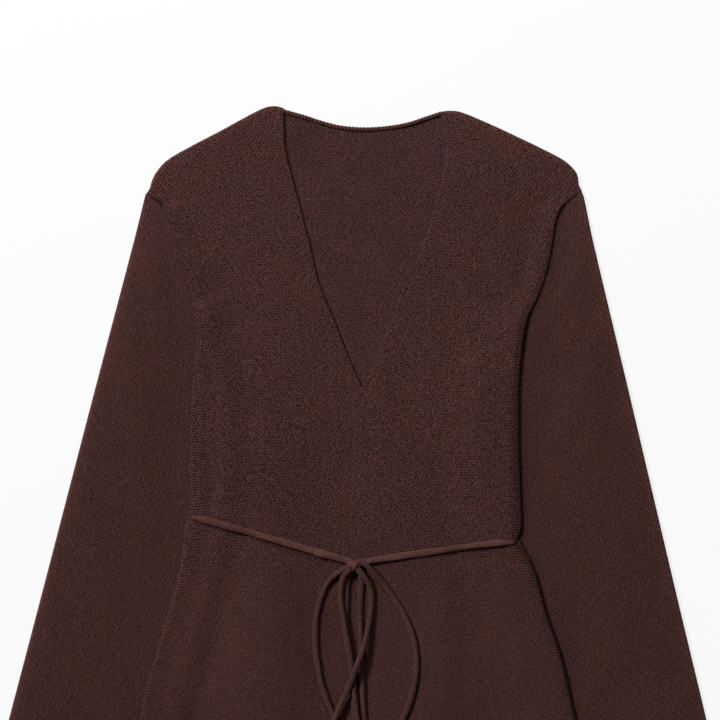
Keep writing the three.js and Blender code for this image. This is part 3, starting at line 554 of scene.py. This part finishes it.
def front_piece(name, side, free_edge, height_at, material):
    """A front: the side edge rolled down, the panel, and the fold over the shoulder."""
    rows = np.concatenate([np.linspace(0, 0.96, 236), np.linspace(0.963, 1, 16)])
    patch = front_patch(side, free_edge)
    f = rows[:, None]
    length = np.linalg.norm(patch.inner(f) - patch.outer(f), axis=-1)
    drop = mix(HEM_DROP, side.tip, rows)[:, None]
    roll = (LEFT_ROLL if side.sign < 0 else RIGHT_ROLL)(drop)
    base = (roll + HALF) / length
    spread = np.linspace(0, 1, 116) ** 1.15
    g = base + (1 - base) * spread
    g = np.concatenate([g[:, :-1], 1 - 1.3 / length, 1 - 0.5 / length, np.ones_like(base)], axis=1)
    f = np.broadcast_to(f, g.shape)
    plan = patch(g, f)
    height = height_at(plan[..., 0], plan[..., 1])
    height = height + fold_relief(plan[..., 0], plan[..., 1], FRONT_FOLDS) * smooth(
        (1 - g) / 0.12
    ) * smooth((g - base) / 0.08)
    fall = (LEFT_FALL if side.sign < 0 else RIGHT_FALL)(drop)
    height = height - fall * np.clip(1 - g * length / 18, 0, 1) ** 2
    if side.sign < 0:
        height = height + 1.3 * np.exp(-(1 - g) * length / 8) * smooth((190 - drop) / 110)
    near_fold = smooth((f - 0.965) / 0.035)
    height = mix(height, HALF + 2 * SHOULDER_FOLD, near_fold)
    turn = smooth((drop - side.tip - 4) / 16)
    way = plan[:, 0] - plan[:, 1]
    way = (way / np.linalg.norm(way, axis=-1, keepdims=True))[:, None, :]
    run = mix(roll + HALF - 0.2, roll * math.pi / 2, turn)
    part = np.linspace(1, 0.1, 10)[None, :]
    out, fall = rolled(run * part, turn, roll)
    edge_plan = plan[:, :1] + way * out[..., None]
    edge_height = height[:, :1] - fall
    u, v = courses(side, plan[..., 0], plan[..., 1])
    edge_u = u[:, :1] + side.sign * run * part
    edge_v = np.broadcast_to(v[:, :1], edge_u.shape)
    plan = np.concatenate([edge_plan, plan], axis=1)
    height = np.concatenate([edge_height, height], axis=1)
    u = np.concatenate([edge_u, u], axis=1)
    v = np.concatenate([edge_v, v], axis=1)

    line_g = np.concatenate([base[-1] * (1 - part[0]), g[-1]])
    out_x, out_d = side.out_of_shoulder(line_g)
    radius = (height[-1] - HALF) / 2
    angle = np.linspace(0.1, 1, 10)[:, None] * math.pi
    reach = radius * np.sin(angle) * mix(0.3, 1, smooth(line_g / 0.08))
    fold_height = HALF + radius * (1 + np.cos(angle))
    under = np.linspace(0.25, 1, 4)[:, None] * fold_band(line_g)
    reach = np.concatenate([reach, -under])
    fold_height = np.concatenate([fold_height, np.full_like(under, HALF)])
    fold_plan = plan[-1] + reach[..., None] * np.stack([out_x, out_d], axis=-1)
    cloth_run = np.concatenate([angle * radius, math.pi * radius + under])
    points = in_metres(
        np.concatenate([plan[..., 0], fold_plan[..., 0]]),
        np.concatenate([plan[..., 1], fold_plan[..., 1]]),
        np.concatenate([height, fold_height]),
    )
    uv = np.stack([
        np.concatenate([u, np.broadcast_to(u[-1], cloth_run.shape)]),
        np.concatenate([v, v[-1] - cloth_run]),
    ], axis=-1)
    full_g = np.concatenate([np.broadcast_to(base, edge_u.shape) * 0.5, g], axis=1)
    full_g = np.concatenate([full_g, np.broadcast_to(full_g[-1], cloth_run.shape)])
    to_free = (1 - full_g) * length.mean()
    thickness = CLOTH * mix(0.5, 1, np.sqrt(smooth(to_free / 1.6)))
    inset = full_g * length.mean()
    thickness = thickness * mix(SEAM_THIN, 1, smooth((inset - 2) / 15))
    if side.sign > 0:
        points, uv = points[:, ::-1], uv[:, ::-1]
        thickness, inset = thickness[:, ::-1], inset[:, ::-1]
    return wall(name, points, uv, material, thickness, inset)


def shoulder_seam(side, free_edge):
    """The back's edge under a shoulder: the front's band end, moved a seam's gap down."""
    patch = front_patch(side, free_edge)
    g = np.linspace(0.145, 1, 40)
    plan = patch(g, np.ones_like(g))
    out_x, out_d = side.out_of_shoulder(g)
    band = fold_band(g) + SEAM_GAP
    return np.stack([plan[..., 0] - out_x * band, plan[..., 1] - out_d * band], axis=-1)


def back_piece(name, material):
    """The back: one flat panel that rises over the sleeves along both sides."""
    tip = 94

    def edge(side, d):
        return np.stack([side.edge(d) - side.sign * back_inset(d), d], axis=-1)

    neck_across = np.linspace(-77, 80.5, 48)
    neck = np.stack([neck_across, neck_top(neck_across) + NECK_ROLL * 0.55], axis=-1)
    left, right = edge(left_side, np.array(tip, float)), edge(right_side, np.array(tip, float))
    line = np.concatenate([
        left[None], shoulder_seam(left_side, under_edge), neck,
        shoulder_seam(right_side, over_edge)[::-1], right[None],
    ])
    line = line[np.argsort(line[:, 0])]

    def high(g):
        x = mix(left[0], right[0], g)
        return np.stack([x, np.interp(x, line[:, 0], line[:, 1])], axis=-1)

    def low(g):
        d = np.full_like(g, HEM_DROP, dtype=float)
        return mix(edge(left_side, d), edge(right_side, d), g[..., None])

    patch = coons(
        lambda f: edge(left_side, mix(HEM_DROP, tip, f)),
        lambda f: edge(right_side, mix(HEM_DROP, tip, f)),
        low, high,
    )
    corners = (line[1:-1, 0] - left[0]) / (right[0] - left[0])
    columns = np.union1d(np.linspace(0, 1, 150), corners[np.r_[0, 39:88, -1]])
    g, f = np.meshgrid(columns, np.linspace(0, 1, 240))
    plan = patch(g, f)
    x, d = plan[..., 0], plan[..., 1]
    inside_v = smooth((over_edge(d) - x) / 14) * smooth((x - under_edge(d)) / 14)
    inside_v = inside_v * smooth((300 - d) / 30)
    ripples = 0.45 * np.sin(x / 17 + 0.4 * np.sin(d / 40)) * np.sin(d / 61 + 1.2)
    height = HALF + LAYER * layers_below(x, d) + np.maximum(ripples, 0) * inside_v
    to_side = np.minimum(g, 1 - g) * 400
    thickness = CLOTH * mix(SEAM_THIN, 1, smooth(to_side / 12))
    return wall(name, in_metres(x, d, height), np.stack([x, d], axis=-1), material, thickness)


def sleeve_piece(name, side, folds, material):
    """A sleeve: cloth laid double. Rows run from the inner edge across the upper layer,
    round the outer fold and back beneath; the upper layer is slightly puffed."""
    outer_rows = np.concatenate([[side.tip - 0.6], SLEEVE_ROWS[0]])
    inner_rows = np.concatenate([[side.tip - 2.4], SLEEVE_ROWS[1]])
    count = np.arange(len(outer_rows))
    rows = np.concatenate([np.linspace(0, 7, 60)[:-1], np.linspace(7, count[-1], 190)])
    outer_d = np.interp(rows, count, outer_rows)[:, None]
    inner_d = np.interp(rows, count, inner_rows)[:, None]
    outer_x = side.outer(outer_d)
    at_armhole = side.edge(inner_d) - side.sign * sleeve_reach(inner_d)
    inner_x = np.where(inner_d > side.underarm, side.inner(inner_d), at_armhole)
    width = np.hypot(inner_x - outer_x, inner_d - outer_d)
    fold = LAYER / 2
    roll = LAYER - HALF - SEAM_GAP
    turn = smooth((inner_d - side.underarm) / 25) + 1 - smooth((inner_d - 96) / 16)
    run = mix(roll + HALF - 0.1, roll * math.pi / 2, turn)
    part = np.linspace(1, 0.2, 5)[None, :]
    out, fall = rolled(run * part, turn, roll)
    roll_inset = width - roll - HALF
    fold_inset = fold + HALF
    across_top = mix(roll_inset, fold_inset, np.linspace(0, 1, 70)[None, :])
    across_low = mix(fold_inset, roll_inset, np.linspace(0, 1, 36)[None, :])
    angle = np.linspace(0.12, 0.88, 7)[None, :] * math.pi
    flat = np.ones_like(width)
    puff_fade = smooth((inner_d - side.tip) / 100)
    puff = 1.6 * puff_fade * np.sin(math.pi * np.minimum(across_top / (0.7 * width), 1))
    inset = np.concatenate([
        roll_inset + out, across_top, fold_inset - fold * np.sin(angle) * flat,
        across_low, width - 0.2,
    ], axis=1)
    top = HALF + LAYER - 0.6 * (1 - smooth((inner_d - 96) / 16))
    height = np.concatenate([
        top - fall, top + puff, HALF + fold + fold * np.cos(angle) * flat,
        np.full_like(across_low, HALF), np.full_like(width, HALF),
    ], axis=1)
    x = mix(outer_x, inner_x, inset / width)
    d = mix(outer_d, inner_d, inset / width)
    open_cloth = smooth((side.sign * (x - side.edge(np.clip(d, side.tip, HEM_DROP))) - 1) / 12)
    shown = np.zeros(x.shape)
    upper = slice(5, 75)
    shown[:, upper] = open_cloth[:, upper] * smooth((across_top - fold_inset) / 10)
    height = height + fold_relief(x, d, folds) * shown
    points = in_metres(x, d, height)
    step = np.linalg.norm(np.diff(points, axis=1), axis=-1) / MM
    around = np.concatenate([np.zeros_like(width), np.cumsum(step, axis=1)], axis=1)
    uv = np.stack([around, d + 0.28 * x], axis=-1)
    if side.sign < 0:
        points, uv = points[:, ::-1], uv[:, ::-1]
    return wall(name, points[:, ::-1], uv[:, ::-1], material)


def tube(centres, across_way, up_way, half_width, half_height, sides, power=2.0):
    """Rings round a line: each is a rounded oval in the plane of its two directions, with
    |x|^p + |y|^p = 1 for its outline. Returns points as rings by sides."""
    angle = np.arange(sides) * 2 * math.pi / sides
    c = np.sign(np.cos(angle)) * np.abs(np.cos(angle)) ** (2 / power)
    s = np.sign(np.sin(angle)) * np.abs(np.sin(angle)) ** (2 / power)
    return (
        centres[:, None]
        + across_way[:, None] * (half_width[:, None] * c)[..., None]
        + up_way[:, None] * (half_height[:, None] * s)[..., None]
    )


def tube_parts(rings, start=0):
    """Faces of a closed tube of rings, with a point's pole at each end, and its map: round
    the tube and along it in millimetres. Returns points, faces and the map per corner."""
    count, sides = rings.shape[:2]
    i, k = np.meshgrid(np.arange(count - 1), np.arange(sides), indexing="ij")
    near = (k + 1) % sides
    faces = np.stack(
        [i * sides + k, i * sides + near, (i + 1) * sides + near, (i + 1) * sides + k], axis=-1
    ).reshape(-1, 4)
    middle = rings.mean(axis=1)
    along = run_along(np.linalg.norm(np.diff(middle, axis=0), axis=1)) / MM
    girth = np.linalg.norm(rings - np.roll(rings, -1, axis=1), axis=-1).sum(axis=1).mean() / MM
    around = np.arange(sides + 1) / sides * girth
    corner_k = np.stack([k, k + 1, k + 1, k], axis=-1).reshape(-1, 4)
    corner_i = np.stack([i, i, i + 1, i + 1], axis=-1).reshape(-1, 4)
    uv = np.stack([around[corner_k], along[corner_i]], axis=-1)
    poles = len(rings.reshape(-1, 3))
    ends = []
    for ring, pole in ((0, poles), (count - 1, poles + 1)):
        k1 = np.arange(0, sides, 2)
        a = ring * sides + k1
        b = ring * sides + (k1 + 1) % sides
        c = ring * sides + (k1 + 2) % sides
        fan = np.stack([np.full_like(a, pole), c, b, a], axis=-1)
        ends.append(fan if ring == 0 else fan[:, ::-1])
    caps = np.concatenate(ends)
    cap_uv = np.zeros((len(caps), 4, 2))
    points = np.concatenate([rings.reshape(-1, 3), middle[:1], middle[-1:]])
    return points, np.concatenate([faces, caps]) + start, np.concatenate([uv, cap_uv])


def rounded_ends(run, reach, least):
    """Shares of the full size that round a length off within a reach of both its ends."""
    ends = np.minimum(np.minimum(run, run[-1] - run) / reach, 1)
    return np.sqrt(np.clip(1 - (1 - ends) ** 2, least, 1))


def tie_route(rows):
    """The middle line of a stretch of the tie: its plan curve sampled about every 4 mm, each
    point at the height of the highest cloth near it, and a smooth line through the points."""
    plan = plan_curve(rows[0], rows[1])
    layer = through(plan.shares, rows[2])
    count = round(plan.reach / 4)
    t = np.arange(count + 1) / count
    rest = np.max([
        top_height(*plan(np.clip(t + step / count, 0, 1))) for step in (-2, -1, 0, 1, 2)
    ], axis=0)
    height = rest + 0.1 + TIE_THICKNESS / 2 + layer(t) * TIE_THICKNESS * 0.87
    route = in_metres(*plan(t), height)
    fine = np.linspace(0, count, count * 5 + 1)
    return np.stack([through(np.arange(count + 1), route[:, k])(fine) for k in range(3)], axis=-1)


def tie_piece(name, rows, material, wobble, width, from_seam):
    """A stretch of the tie: a soft flat oval carried along its route, whose width and tilt
    wander a little, rounded off at both ends. One that starts at a side seam is pulled flatter
    along its whole length, is thin and low at the seam and swells over its first 16 mm."""
    line = tie_route(rows)
    forward = unit(np.gradient(line, axis=0))
    up = unit(np.array([0, 0, 1.0]) - forward * forward[:, 2:])
    side_way = unit(np.cross(forward, up))
    run = run_along(np.linalg.norm(np.diff(line, axis=0), axis=1)) / MM
    tilt = 0.16 * np.sin(run / 23 + wobble) + 0.07 * np.sin(run / 7.3 + 2 * wobble)
    up, side_way = (
        up * np.cos(tilt)[:, None] + side_way * np.sin(tilt)[:, None],
        side_way * np.cos(tilt)[:, None] - up * np.sin(tilt)[:, None],
    )
    wander = 1 + 0.08 * np.sin(run / 17 + wobble) + 0.04 * np.sin(run / 5.1 + 1.7 * wobble)
    rounding = rounded_ends(run, 2.2, 0.02)
    seam = smooth(run / 16) if from_seam else np.ones_like(run)
    line[:, 2] -= 1.3 * MM * (1 - seam)
    half_width = width / 2 * wander * rounding * mix(0.62, 1, seam) * MM
    half_height = TIE_THICKNESS / 2 * (2 - wander) * rounding * mix(0.5, 1, seam) * MM
    if from_seam:
        half_height = half_height * PULLED_FLAT
        line[:, 2] -= TIE_THICKNESS / 2 * (1 - PULLED_FLAT) * MM
    rings = tube(line, side_way, up, half_width, half_height, 20, 2.2)
    points, faces, uv = tube_parts(rings)
    return mesh_piece(name, points, faces, uv, material), line


def neck_roll_piece(name, material):
    """The rolled edge round the back neck: a round roll whose stitches stand out as a rope's
    turns do, a ripple that runs slantwise round the roll."""
    across = np.linspace(-78.5, 82, 430)
    lean = np.arctan2(neck_top(across + 1) - neck_top(across - 1), 2)
    radius = NECK_ROLL / 2
    run = run_along(np.hypot(np.diff(across), np.diff(neck_top(across))))
    angle = np.arange(28) * 2 * math.pi / 28
    turn = 2 * math.pi * run[:, None] / 3.7 + 1.3 * np.sin(angle)[None, :]
    turn = turn + 0.5 * np.sin(run / 31)[:, None]
    rounding = rounded_ends(run, 1.5, 0.05)[:, None]
    size = radius * (0.93 + 0.085 * np.cos(turn)) * rounding
    out = size * np.cos(angle)
    height = radius + size * np.sin(angle)
    x = across[:, None] + np.sin(lean)[:, None] * out
    d = (neck_top(across) + radius)[:, None] - np.cos(lean)[:, None] * out
    rings = in_metres(x, d, height)[:, ::-1]
    points, faces, uv = tube_parts(rings)
    return mesh_piece(name, points, faces, uv, material)


def knot_piece(name, material):
    """The knot: a pinched bundle between the two sides of the tie, and one turn of the tie
    over it. The bundle is an ellipsoid whose radius ripples round its long axis; the turn is
    a flat tube along an arch from above the bundle to below it."""
    x0, d0 = KNOT["across"], KNOT["drop"]
    floor = float(top_height(np.array(x0), np.array(d0))) + SEAM_GAP
    centre = in_metres(np.array(x0), np.array(d0), np.array(floor + KNOT["high"] * 0.9))
    t = np.linspace(-0.985, 0.985, 40)
    profile = np.sqrt(1 - t ** 2)
    angle = np.arange(32) * 2 * math.pi / 32
    ripple = 1 + 0.07 * np.cos(5 * angle[None, :] + 3 * t[:, None]) * (0.4 + t[:, None] ** 2)
    rings = np.stack([
        centre[0] + np.broadcast_to(KNOT["wide"] * 0.92 * MM * t[:, None], ripple.shape),
        centre[1] + KNOT["long"] * 0.66 * MM * profile[:, None] * np.cos(angle) * ripple,
        centre[2] + KNOT["high"] * 0.66 * MM * profile[:, None] * np.sin(angle) * ripple,
    ], axis=-1)
    points, faces, uv = tube_parts(rings)
    arch = np.linspace(-0.15, 1.12, 46) * math.pi
    lean = 1.6 * MM
    line = np.stack([
        centre[0] + 1.2 * MM + lean * np.cos(arch),
        centre[1] + (KNOT["long"] * 0.68 * np.cos(arch) - 0.6) * MM,
        centre[2] + KNOT["high"] * 0.60 * MM * np.sin(arch),
    ], axis=-1)
    forward = unit(np.gradient(line, axis=0))
    side_way = np.broadcast_to(np.array([1.0, 0, 0]), forward.shape)
    side_way = unit(side_way - forward * (forward * side_way).sum(-1, keepdims=True))
    up = unit(np.cross(side_way, forward))
    size = np.ones(len(line))
    wrap = tube(line, side_way, up, 2.2 * MM * size, 1.3 * MM * size, 20, 2.3)
    if np.dot(up[23], [0, 0, 1.0]) < 0:
        wrap = wrap[:, ::-1]
    more, more_faces, more_uv = tube_parts(wrap, len(points))
    return mesh_piece(
        name,
        np.concatenate([points, more]),
        np.concatenate([faces, more_faces]),
        np.concatenate([uv, more_uv]),
        material,
    )


def colour(red, green, blue):
    """An 8-bit colour as linear light."""
    s = np.array([red, green, blue]) / 255
    return (*np.where(s < 0.04045, s / 12.92, ((s + 0.055) / 1.055) ** 2.4).tolist(), 1.0)


class Nodes:
    """Short ways to add and join a material's nodes."""

    def __init__(self, name):
        self.material = bpy.data.materials.new(name)
        self.material.use_nodes = True
        self.tree = self.material.node_tree
        self.shader = self.tree.nodes["Principled BSDF"]

    def add(self, kind, **values):
        node = self.tree.nodes.new(kind)
        for key, value in values.items():
            setattr(node, key, value)
        return node

    def join(self, out, into):
        self.tree.links.new(out, into)

    def math(self, operation, a, b=None):
        """One Math node, whose inputs are numbers or other nodes' outputs."""
        node = self.add("ShaderNodeMath", operation=operation)
        for socket, value in zip(node.inputs, (a, b)):
            if isinstance(value, (int, float)):
                socket.default_value = value
            elif value is not None:
                self.join(value, socket)
        return node.outputs[0]

    def times(self, a, b):
        return self.math("MULTIPLY", a, b)

    def minus(self, a, b):
        return self.math("SUBTRACT", a, b)

    def plus(self, total, *terms):
        for term in terms:
            total = self.math("ADD", total, term)
        return total

    def swing(self, fac, reach):
        """A factor from 0 to 1 made to run half a reach to each side of nought."""
        return self.times(self.minus(fac, 0.5), reach)

    def split(self, vector):
        """The X and the Y of a vector."""
        node = self.add("ShaderNodeSeparateXYZ")
        self.join(vector, node.inputs[0])
        return node.outputs["X"], node.outputs["Y"]

    def attribute(self, name):
        return self.add("ShaderNodeAttribute", attribute_name=name).outputs["Fac"]

    def noise(self, vector, scale, detail=2.0, rough=0.5):
        node = self.add("ShaderNodeTexNoise")
        node.inputs["Scale"].default_value = scale
        node.inputs["Detail"].default_value = detail
        node.inputs["Roughness"].default_value = rough
        self.join(vector, node.inputs["Vector"])
        return node.outputs["Fac"]

    def shades(self, fac, *stops):
        """A colour ramp from (place, colour) stops."""
        node = self.add("ShaderNodeValToRGB")
        ramp = node.color_ramp
        for element, (place, tone) in zip(ramp.elements, stops):
            element.position = place
            element.color = tone
        self.join(fac, node.inputs["Fac"])
        return node.outputs["Color"]

    def multiplied(self, a, b):
        """Two colours multiplied."""
        node = self.add("ShaderNodeMix", data_type="RGBA", blend_type="MULTIPLY")
        node.inputs["Factor"].default_value = 1.0
        self.join(a, node.inputs["A"])
        self.join(b, node.inputs["B"])
        return node.outputs["Result"]


def grey(level):
    return (level, level, level, 1.0)


def yarn_nodes(name):
    """A yarn's nodes, its map round and along the piece in millimetres, and its place in the
    object in metres."""
    n = Nodes(name)
    u, v = n.split(n.add("ShaderNodeUVMap", uv_map="knit").outputs["UV"])
    return n, u, v, n.add("ShaderNodeTexCoord").outputs["Object"]


def finish_yarn(n, body, tone, patches, shade, levels, relief, depth):
    """A dry yarn with a slight nap. Two tones in soft patches are multiplied by the shade,
    whose greys at 0 and at 1 are "levels", and the relief is a bump of the given depth."""
    shades = n.shades(shade, (0.0, grey(levels[0])), (1.0, grey(levels[1])))
    warm = n.shades(n.noise(body, patches, 2), (0.35, colour(*tone[0])), (0.65, colour(*tone[1])))
    n.join(n.multiplied(warm, shades), n.shader.inputs["Base Color"])
    bump = n.add("ShaderNodeBump")
    bump.inputs["Strength"].default_value = 1.0
    bump.inputs["Distance"].default_value = depth
    n.join(relief, bump.inputs["Height"])
    n.join(bump.outputs["Normal"], n.shader.inputs["Normal"])
    n.shader.inputs["Roughness"].default_value = 0.85
    n.shader.inputs["Specular IOR Level"].default_value = 0.12
    n.shader.inputs["Sheen Weight"].default_value = 0.04
    n.shader.inputs["Sheen Roughness"].default_value = 0.45
    n.shader.inputs["Sheen Tint"].default_value = (0.75, 0.55, 0.5, 1.0)
    return n.material


# How far in from a side edge a front's courses stand out as ribs, the base of a pit's bell,
# and the pattern's mean shade, about which it grows fainter below the waist
RIB_REACH = 26.0
BELL_BASE = 2.718
MEAN_SHADE = 0.56


def knit_material(name, tone, stitch, pit, ridge, speckle, edge_ribs=0.0):
    """Fine knit. On the piece's own map, in millimetres, a stitch is one wale by one course,
    each course shifted half a stitch on the last. A dark pit of chance depth lies near each
    stitch's middle, a bead between each two pits, and a ridge runs along each course; they
    go into the colour and the relief. On the fronts the ridges stand out as ribs near a side
    edge, and the whole pattern grows fainter below the waist."""
    wale, course = stitch
    n, u, v, body = yarn_nodes(name)
    near = n.minus(1.0, n.math("DIVIDE", n.attribute("inset"), RIB_REACH))
    near = n.times(n.math("MAXIMUM", near, 0.0), 1.0 if edge_ribs else 0.0)
    sway = n.swing(n.noise(body, 60, 2), 2.6)
    jitter = n.swing(n.noise(body, 210, 1), 3.6)
    waver = n.times(n.swing(n.noise(body, 290, 1), 3.2), n.minus(1.0, n.times(near, 0.85)))
    x = n.math("DIVIDE", n.plus(u, n.plus(sway, jitter)), wale)
    y = n.math("DIVIDE", n.plus(v, n.plus(n.times(sway, 0.8), waver)), course)
    row = n.math("FLOOR", y)
    shifted = n.plus(x, n.times(n.math("MODULO", row, 2.0), 0.5))
    cell = n.add("ShaderNodeCombineXYZ")
    n.join(n.math("FLOOR", shifted), cell.inputs[0])
    n.join(row, cell.inputs[1])
    draw = n.add("ShaderNodeTexWhiteNoise", noise_dimensions="2D")
    n.join(cell.outputs[0], draw.inputs["Vector"])
    chance = draw.outputs["Value"]
    fx = n.plus(n.minus(n.math("FRACT", shifted), 0.65), n.times(chance, 0.3))
    fy = n.minus(n.math("FRACT", y), 0.5)
    away = n.plus(n.times(n.times(fx, fx), 17.0), n.times(n.times(fy, fy), 9.0))
    dark = n.times(n.math("POWER", BELL_BASE, n.times(away, -1.0)), n.plus(0.4, chance))
    wave = n.times(n.math("COSINE", n.times(fy, 2 * math.pi)), -0.5)
    beads = n.times(
        n.math("COSINE", n.times(fx, 2 * math.pi)), n.math("COSINE", n.times(fy, math.pi))
    )
    beads = n.math("MAXIMUM", n.times(beads, -1.0), 0.0)
    fibre = n.noise(body, 1000, 3, 0.6)
    tuft = n.noise(body, 420, 2, 0.55)
    relief = n.plus(
        n.times(dark, -1.0), n.times(wave, 0.35), n.times(fibre, 0.5), n.times(beads, 0.6),
        n.times(n.times(near, wave), 0.8),
    )
    shade = n.plus(
        n.minus(0.74, n.times(dark, pit)), n.times(wave, n.plus(n.times(near, edge_ribs), ridge)),
        n.times(beads, 0.24), n.swing(fibre, speckle), n.swing(tuft, speckle * 1.5),
    )
    if edge_ribs:
        above = n.times(n.plus(n.split(body)[1], 0.15), 10.0)
        above = n.math("MINIMUM", n.math("MAXIMUM", above, 0.0), 1.0)
        plain = n.plus(0.6, n.times(above, 0.4))
        shade = n.plus(MEAN_SHADE, n.times(n.minus(shade, MEAN_SHADE), plain))
        relief = n.times(relief, plain)
    large = n.swing(n.noise(body, 14, 3, 0.55), 0.22)
    shade = n.times(shade, n.plus(large, 1.0))
    # The 'tone' attribute multiplies in the pieces' painted light and shade.
    shade = n.times(n.times(shade, n.attribute("tone")), 0.5)
    return finish_yarn(n, body, tone, 26, shade, (0.02, 2.0), relief, 0.0005)


def cord_material(name, tone):
    """The tie's close, smooth knit: fine slanted stitches round the cord and a soft mottle."""
    n, u, v, body = yarn_nodes(name)
    slope = n.times(n.math("COSINE", n.times(u, 2 * math.pi / 2.1)), 0.9)
    stitch = n.math("SINE", n.plus(n.times(v, 2 * math.pi / 2.4), slope))
    fibre = n.noise(body, 1100, 3, 0.6)
    tuft = n.noise(body, 560, 2, 0.5)
    relief = n.plus(n.times(stitch, 0.16), n.times(fibre, 0.9))
    shade = n.plus(0.84, n.times(stitch, 0.09), n.swing(fibre, 0.75), n.swing(tuft, 1.7))
    return finish_yarn(n, body, tone, 45, shade, (0.0, 1.0), relief, 0.00035)


FRONT_TONES = ((69.5, 40, 35), (66, 39, 37.2))
SLEEVE_TONES = ((64.8, 37, 31.8), (61.4, 36, 33.8))
BACK_TONES = ((67, 39, 36.5), (63.5, 38, 38))
TIE_TONES = ((80.5, 49, 43), (76.5, 47, 44))
# The loops and ends use the tie's yarn made darker: painted shade for the less light they catch
# than the tie's sides across the waist.
SHADED_LOOP_TONES = ((66.5, 40, 35), (62, 38, 35.5))

front_knit = knit_material("front knit", FRONT_TONES, (3.0, 2.7), 0.46, 0.15, 1.1, edge_ribs=0.50)
back_knit = knit_material("inside knit", BACK_TONES, (2.9, 2.5), 0.31, 0.12, 0.95)
sleeve_knit = knit_material("sleeve knit", SLEEVE_TONES, (3.0, 2.75), 0.20, 0.08, 0.60)
neck_knit = cord_material("neck edge yarn", FRONT_TONES)
tie_knit = cord_material("tie yarn", TIE_TONES)
shaded_loop_knit = cord_material("shaded loop yarn", SHADED_LOOP_TONES)


def floor_material():
    """A white surface lit from behind, so that shadows on it stay faint."""
    n = Nodes("white surface")
    n.shader.inputs["Base Color"].default_value = (0.13, 0.13, 0.134, 1)
    n.shader.inputs["Roughness"].default_value = 1.0
    n.shader.inputs["Specular IOR Level"].default_value = 0.0
    n.shader.inputs["Emission Color"].default_value = (1.0, 1.0, 1.0, 1)
    n.shader.inputs["Emission Strength"].default_value = 0.798
    return n.material


def floor_piece():
    """The plain surface under the garment: one large flat face."""
    size, level = 6.0, -0.0002
    mesh = bpy.data.meshes.new("floor")
    corners = [(x * size, y * size, level) for x, y in ((-1, -1), (1, -1), (1, 1), (-1, 1))]
    mesh.from_pydata(corners, [], [(0, 1, 2, 3)])
    mesh.materials.append(floor_material())
    return add_object("floor", mesh)


def add_camera():
    """Looks straight down from high above with a long lens, on the photograph's frame."""
    height, cloth_height, frame_width, middle_drop = 6.0, 0.006, 0.72, 253
    data = bpy.data.cameras.new("camera")
    data.sensor_width = 36
    data.lens = data.sensor_width * (height - cloth_height) / frame_width
    data.clip_end = 50
    camera = add_object("camera", data)
    camera.location = (SHIFT_X * MM, (SHIFT_Y - middle_drop) * MM, height)
    bpy.context.scene.camera = camera


def add_lights():
    """A soft key from the upper left, a weak panel beyond the neck that lights the folds which
    face it, and an even pale surround."""
    data = bpy.data.lights.new("key", "SUN")
    data.energy = 3.5
    data.angle = math.radians(9)
    key = add_object("key", data)
    toward = unit(np.array([-0.62, 0.46, 0.66]))
    key.rotation_euler = (math.acos(toward[2]), 0, math.atan2(toward[1], toward[0]) + math.pi / 2)
    panel = bpy.data.lights.new("panel", "AREA")
    panel.shape, panel.size, panel.size_y = "RECTANGLE", 1.6, 0.5
    panel.energy = 15.0
    fill = add_object("panel", panel)
    fill.location = (-0.45, 1.17, 0.95)
    fill.rotation_euler = (math.radians(-48), 0, math.radians(21))
    world = bpy.data.worlds.new("surround")
    world.use_nodes = True
    background = world.node_tree.nodes["Background"]
    background.inputs["Color"].default_value = (1.0, 0.995, 0.99, 1)
    background.inputs["Strength"].default_value = 0.17
    bpy.context.scene.world = world


add_camera()
add_lights()
bpy.context.scene.view_settings.view_transform = "Standard"
floor_piece()


def stand_in(piece, node):
    """Carries a piece on the body in its part's place, and hides that part."""
    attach(piece, "root")
    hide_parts(node)


strands = {}
for node, rows, yarn, width, wobble in (
    ("tie_left", LEFT_TIE, tie_knit, 7.0, 0.3), ("tie_right", RIGHT_TIE, tie_knit, 6.6, 1.9),
    ("loop_left", LEFT_LOOP, shaded_loop_knit, 5.7, 2.6), ("loop_right", RIGHT_LOOP, shaded_loop_knit, 5.7, 4.1),
    ("end_left", LEFT_END, shaded_loop_knit, 5.4, 5.0), ("end_right", RIGHT_END, shaded_loop_knit, 5.7, 0.9),
):
    from_seam = node.startswith("tie")
    strands[node] = tie_piece(node + "_yarn", rows, yarn, wobble, width, from_seam)
    stand_in(strands[node][0], node)

knot = knot_piece("knot_yarn", tie_knit)
back = back_piece("back_knit", back_knit)
front_under = front_piece("front_under_knit", left_side, under_edge, front_height, front_knit)
front_over = front_piece("front_over_knit", right_side, over_edge, over_height, front_knit)
sleeve_left = sleeve_piece("sleeve_left_knit", left_side, SLEEVE_FOLDS, sleeve_knit)
sleeve_right = sleeve_piece("sleeve_right_knit", right_side, SLEEVE_FOLDS, sleeve_knit)
neck_edge = neck_roll_piece("neck_edge_knit", neck_knit)

for piece, node in (
    (knot, "knot"), (back, "back"), (front_under, "front_under"), (front_over, "front_over"),
    (sleeve_left, "sleeve_left"), (sleeve_right, "sleeve_right"), (neck_edge, "neck_edge"),
):
    stand_in(piece, node)

# Each side of the tie is sewn into its side seam and runs into the knot; the loops leave the
# knot and return to it, and the two ends hang free of it.
for node, far_end in (
    ("tie_left", "knot"), ("tie_right", "knot"), ("loop_left", "object"),
    ("loop_right", "object"), ("end_left", "bare"), ("end_right", "bare"),
):
    piece, line = strands[node]
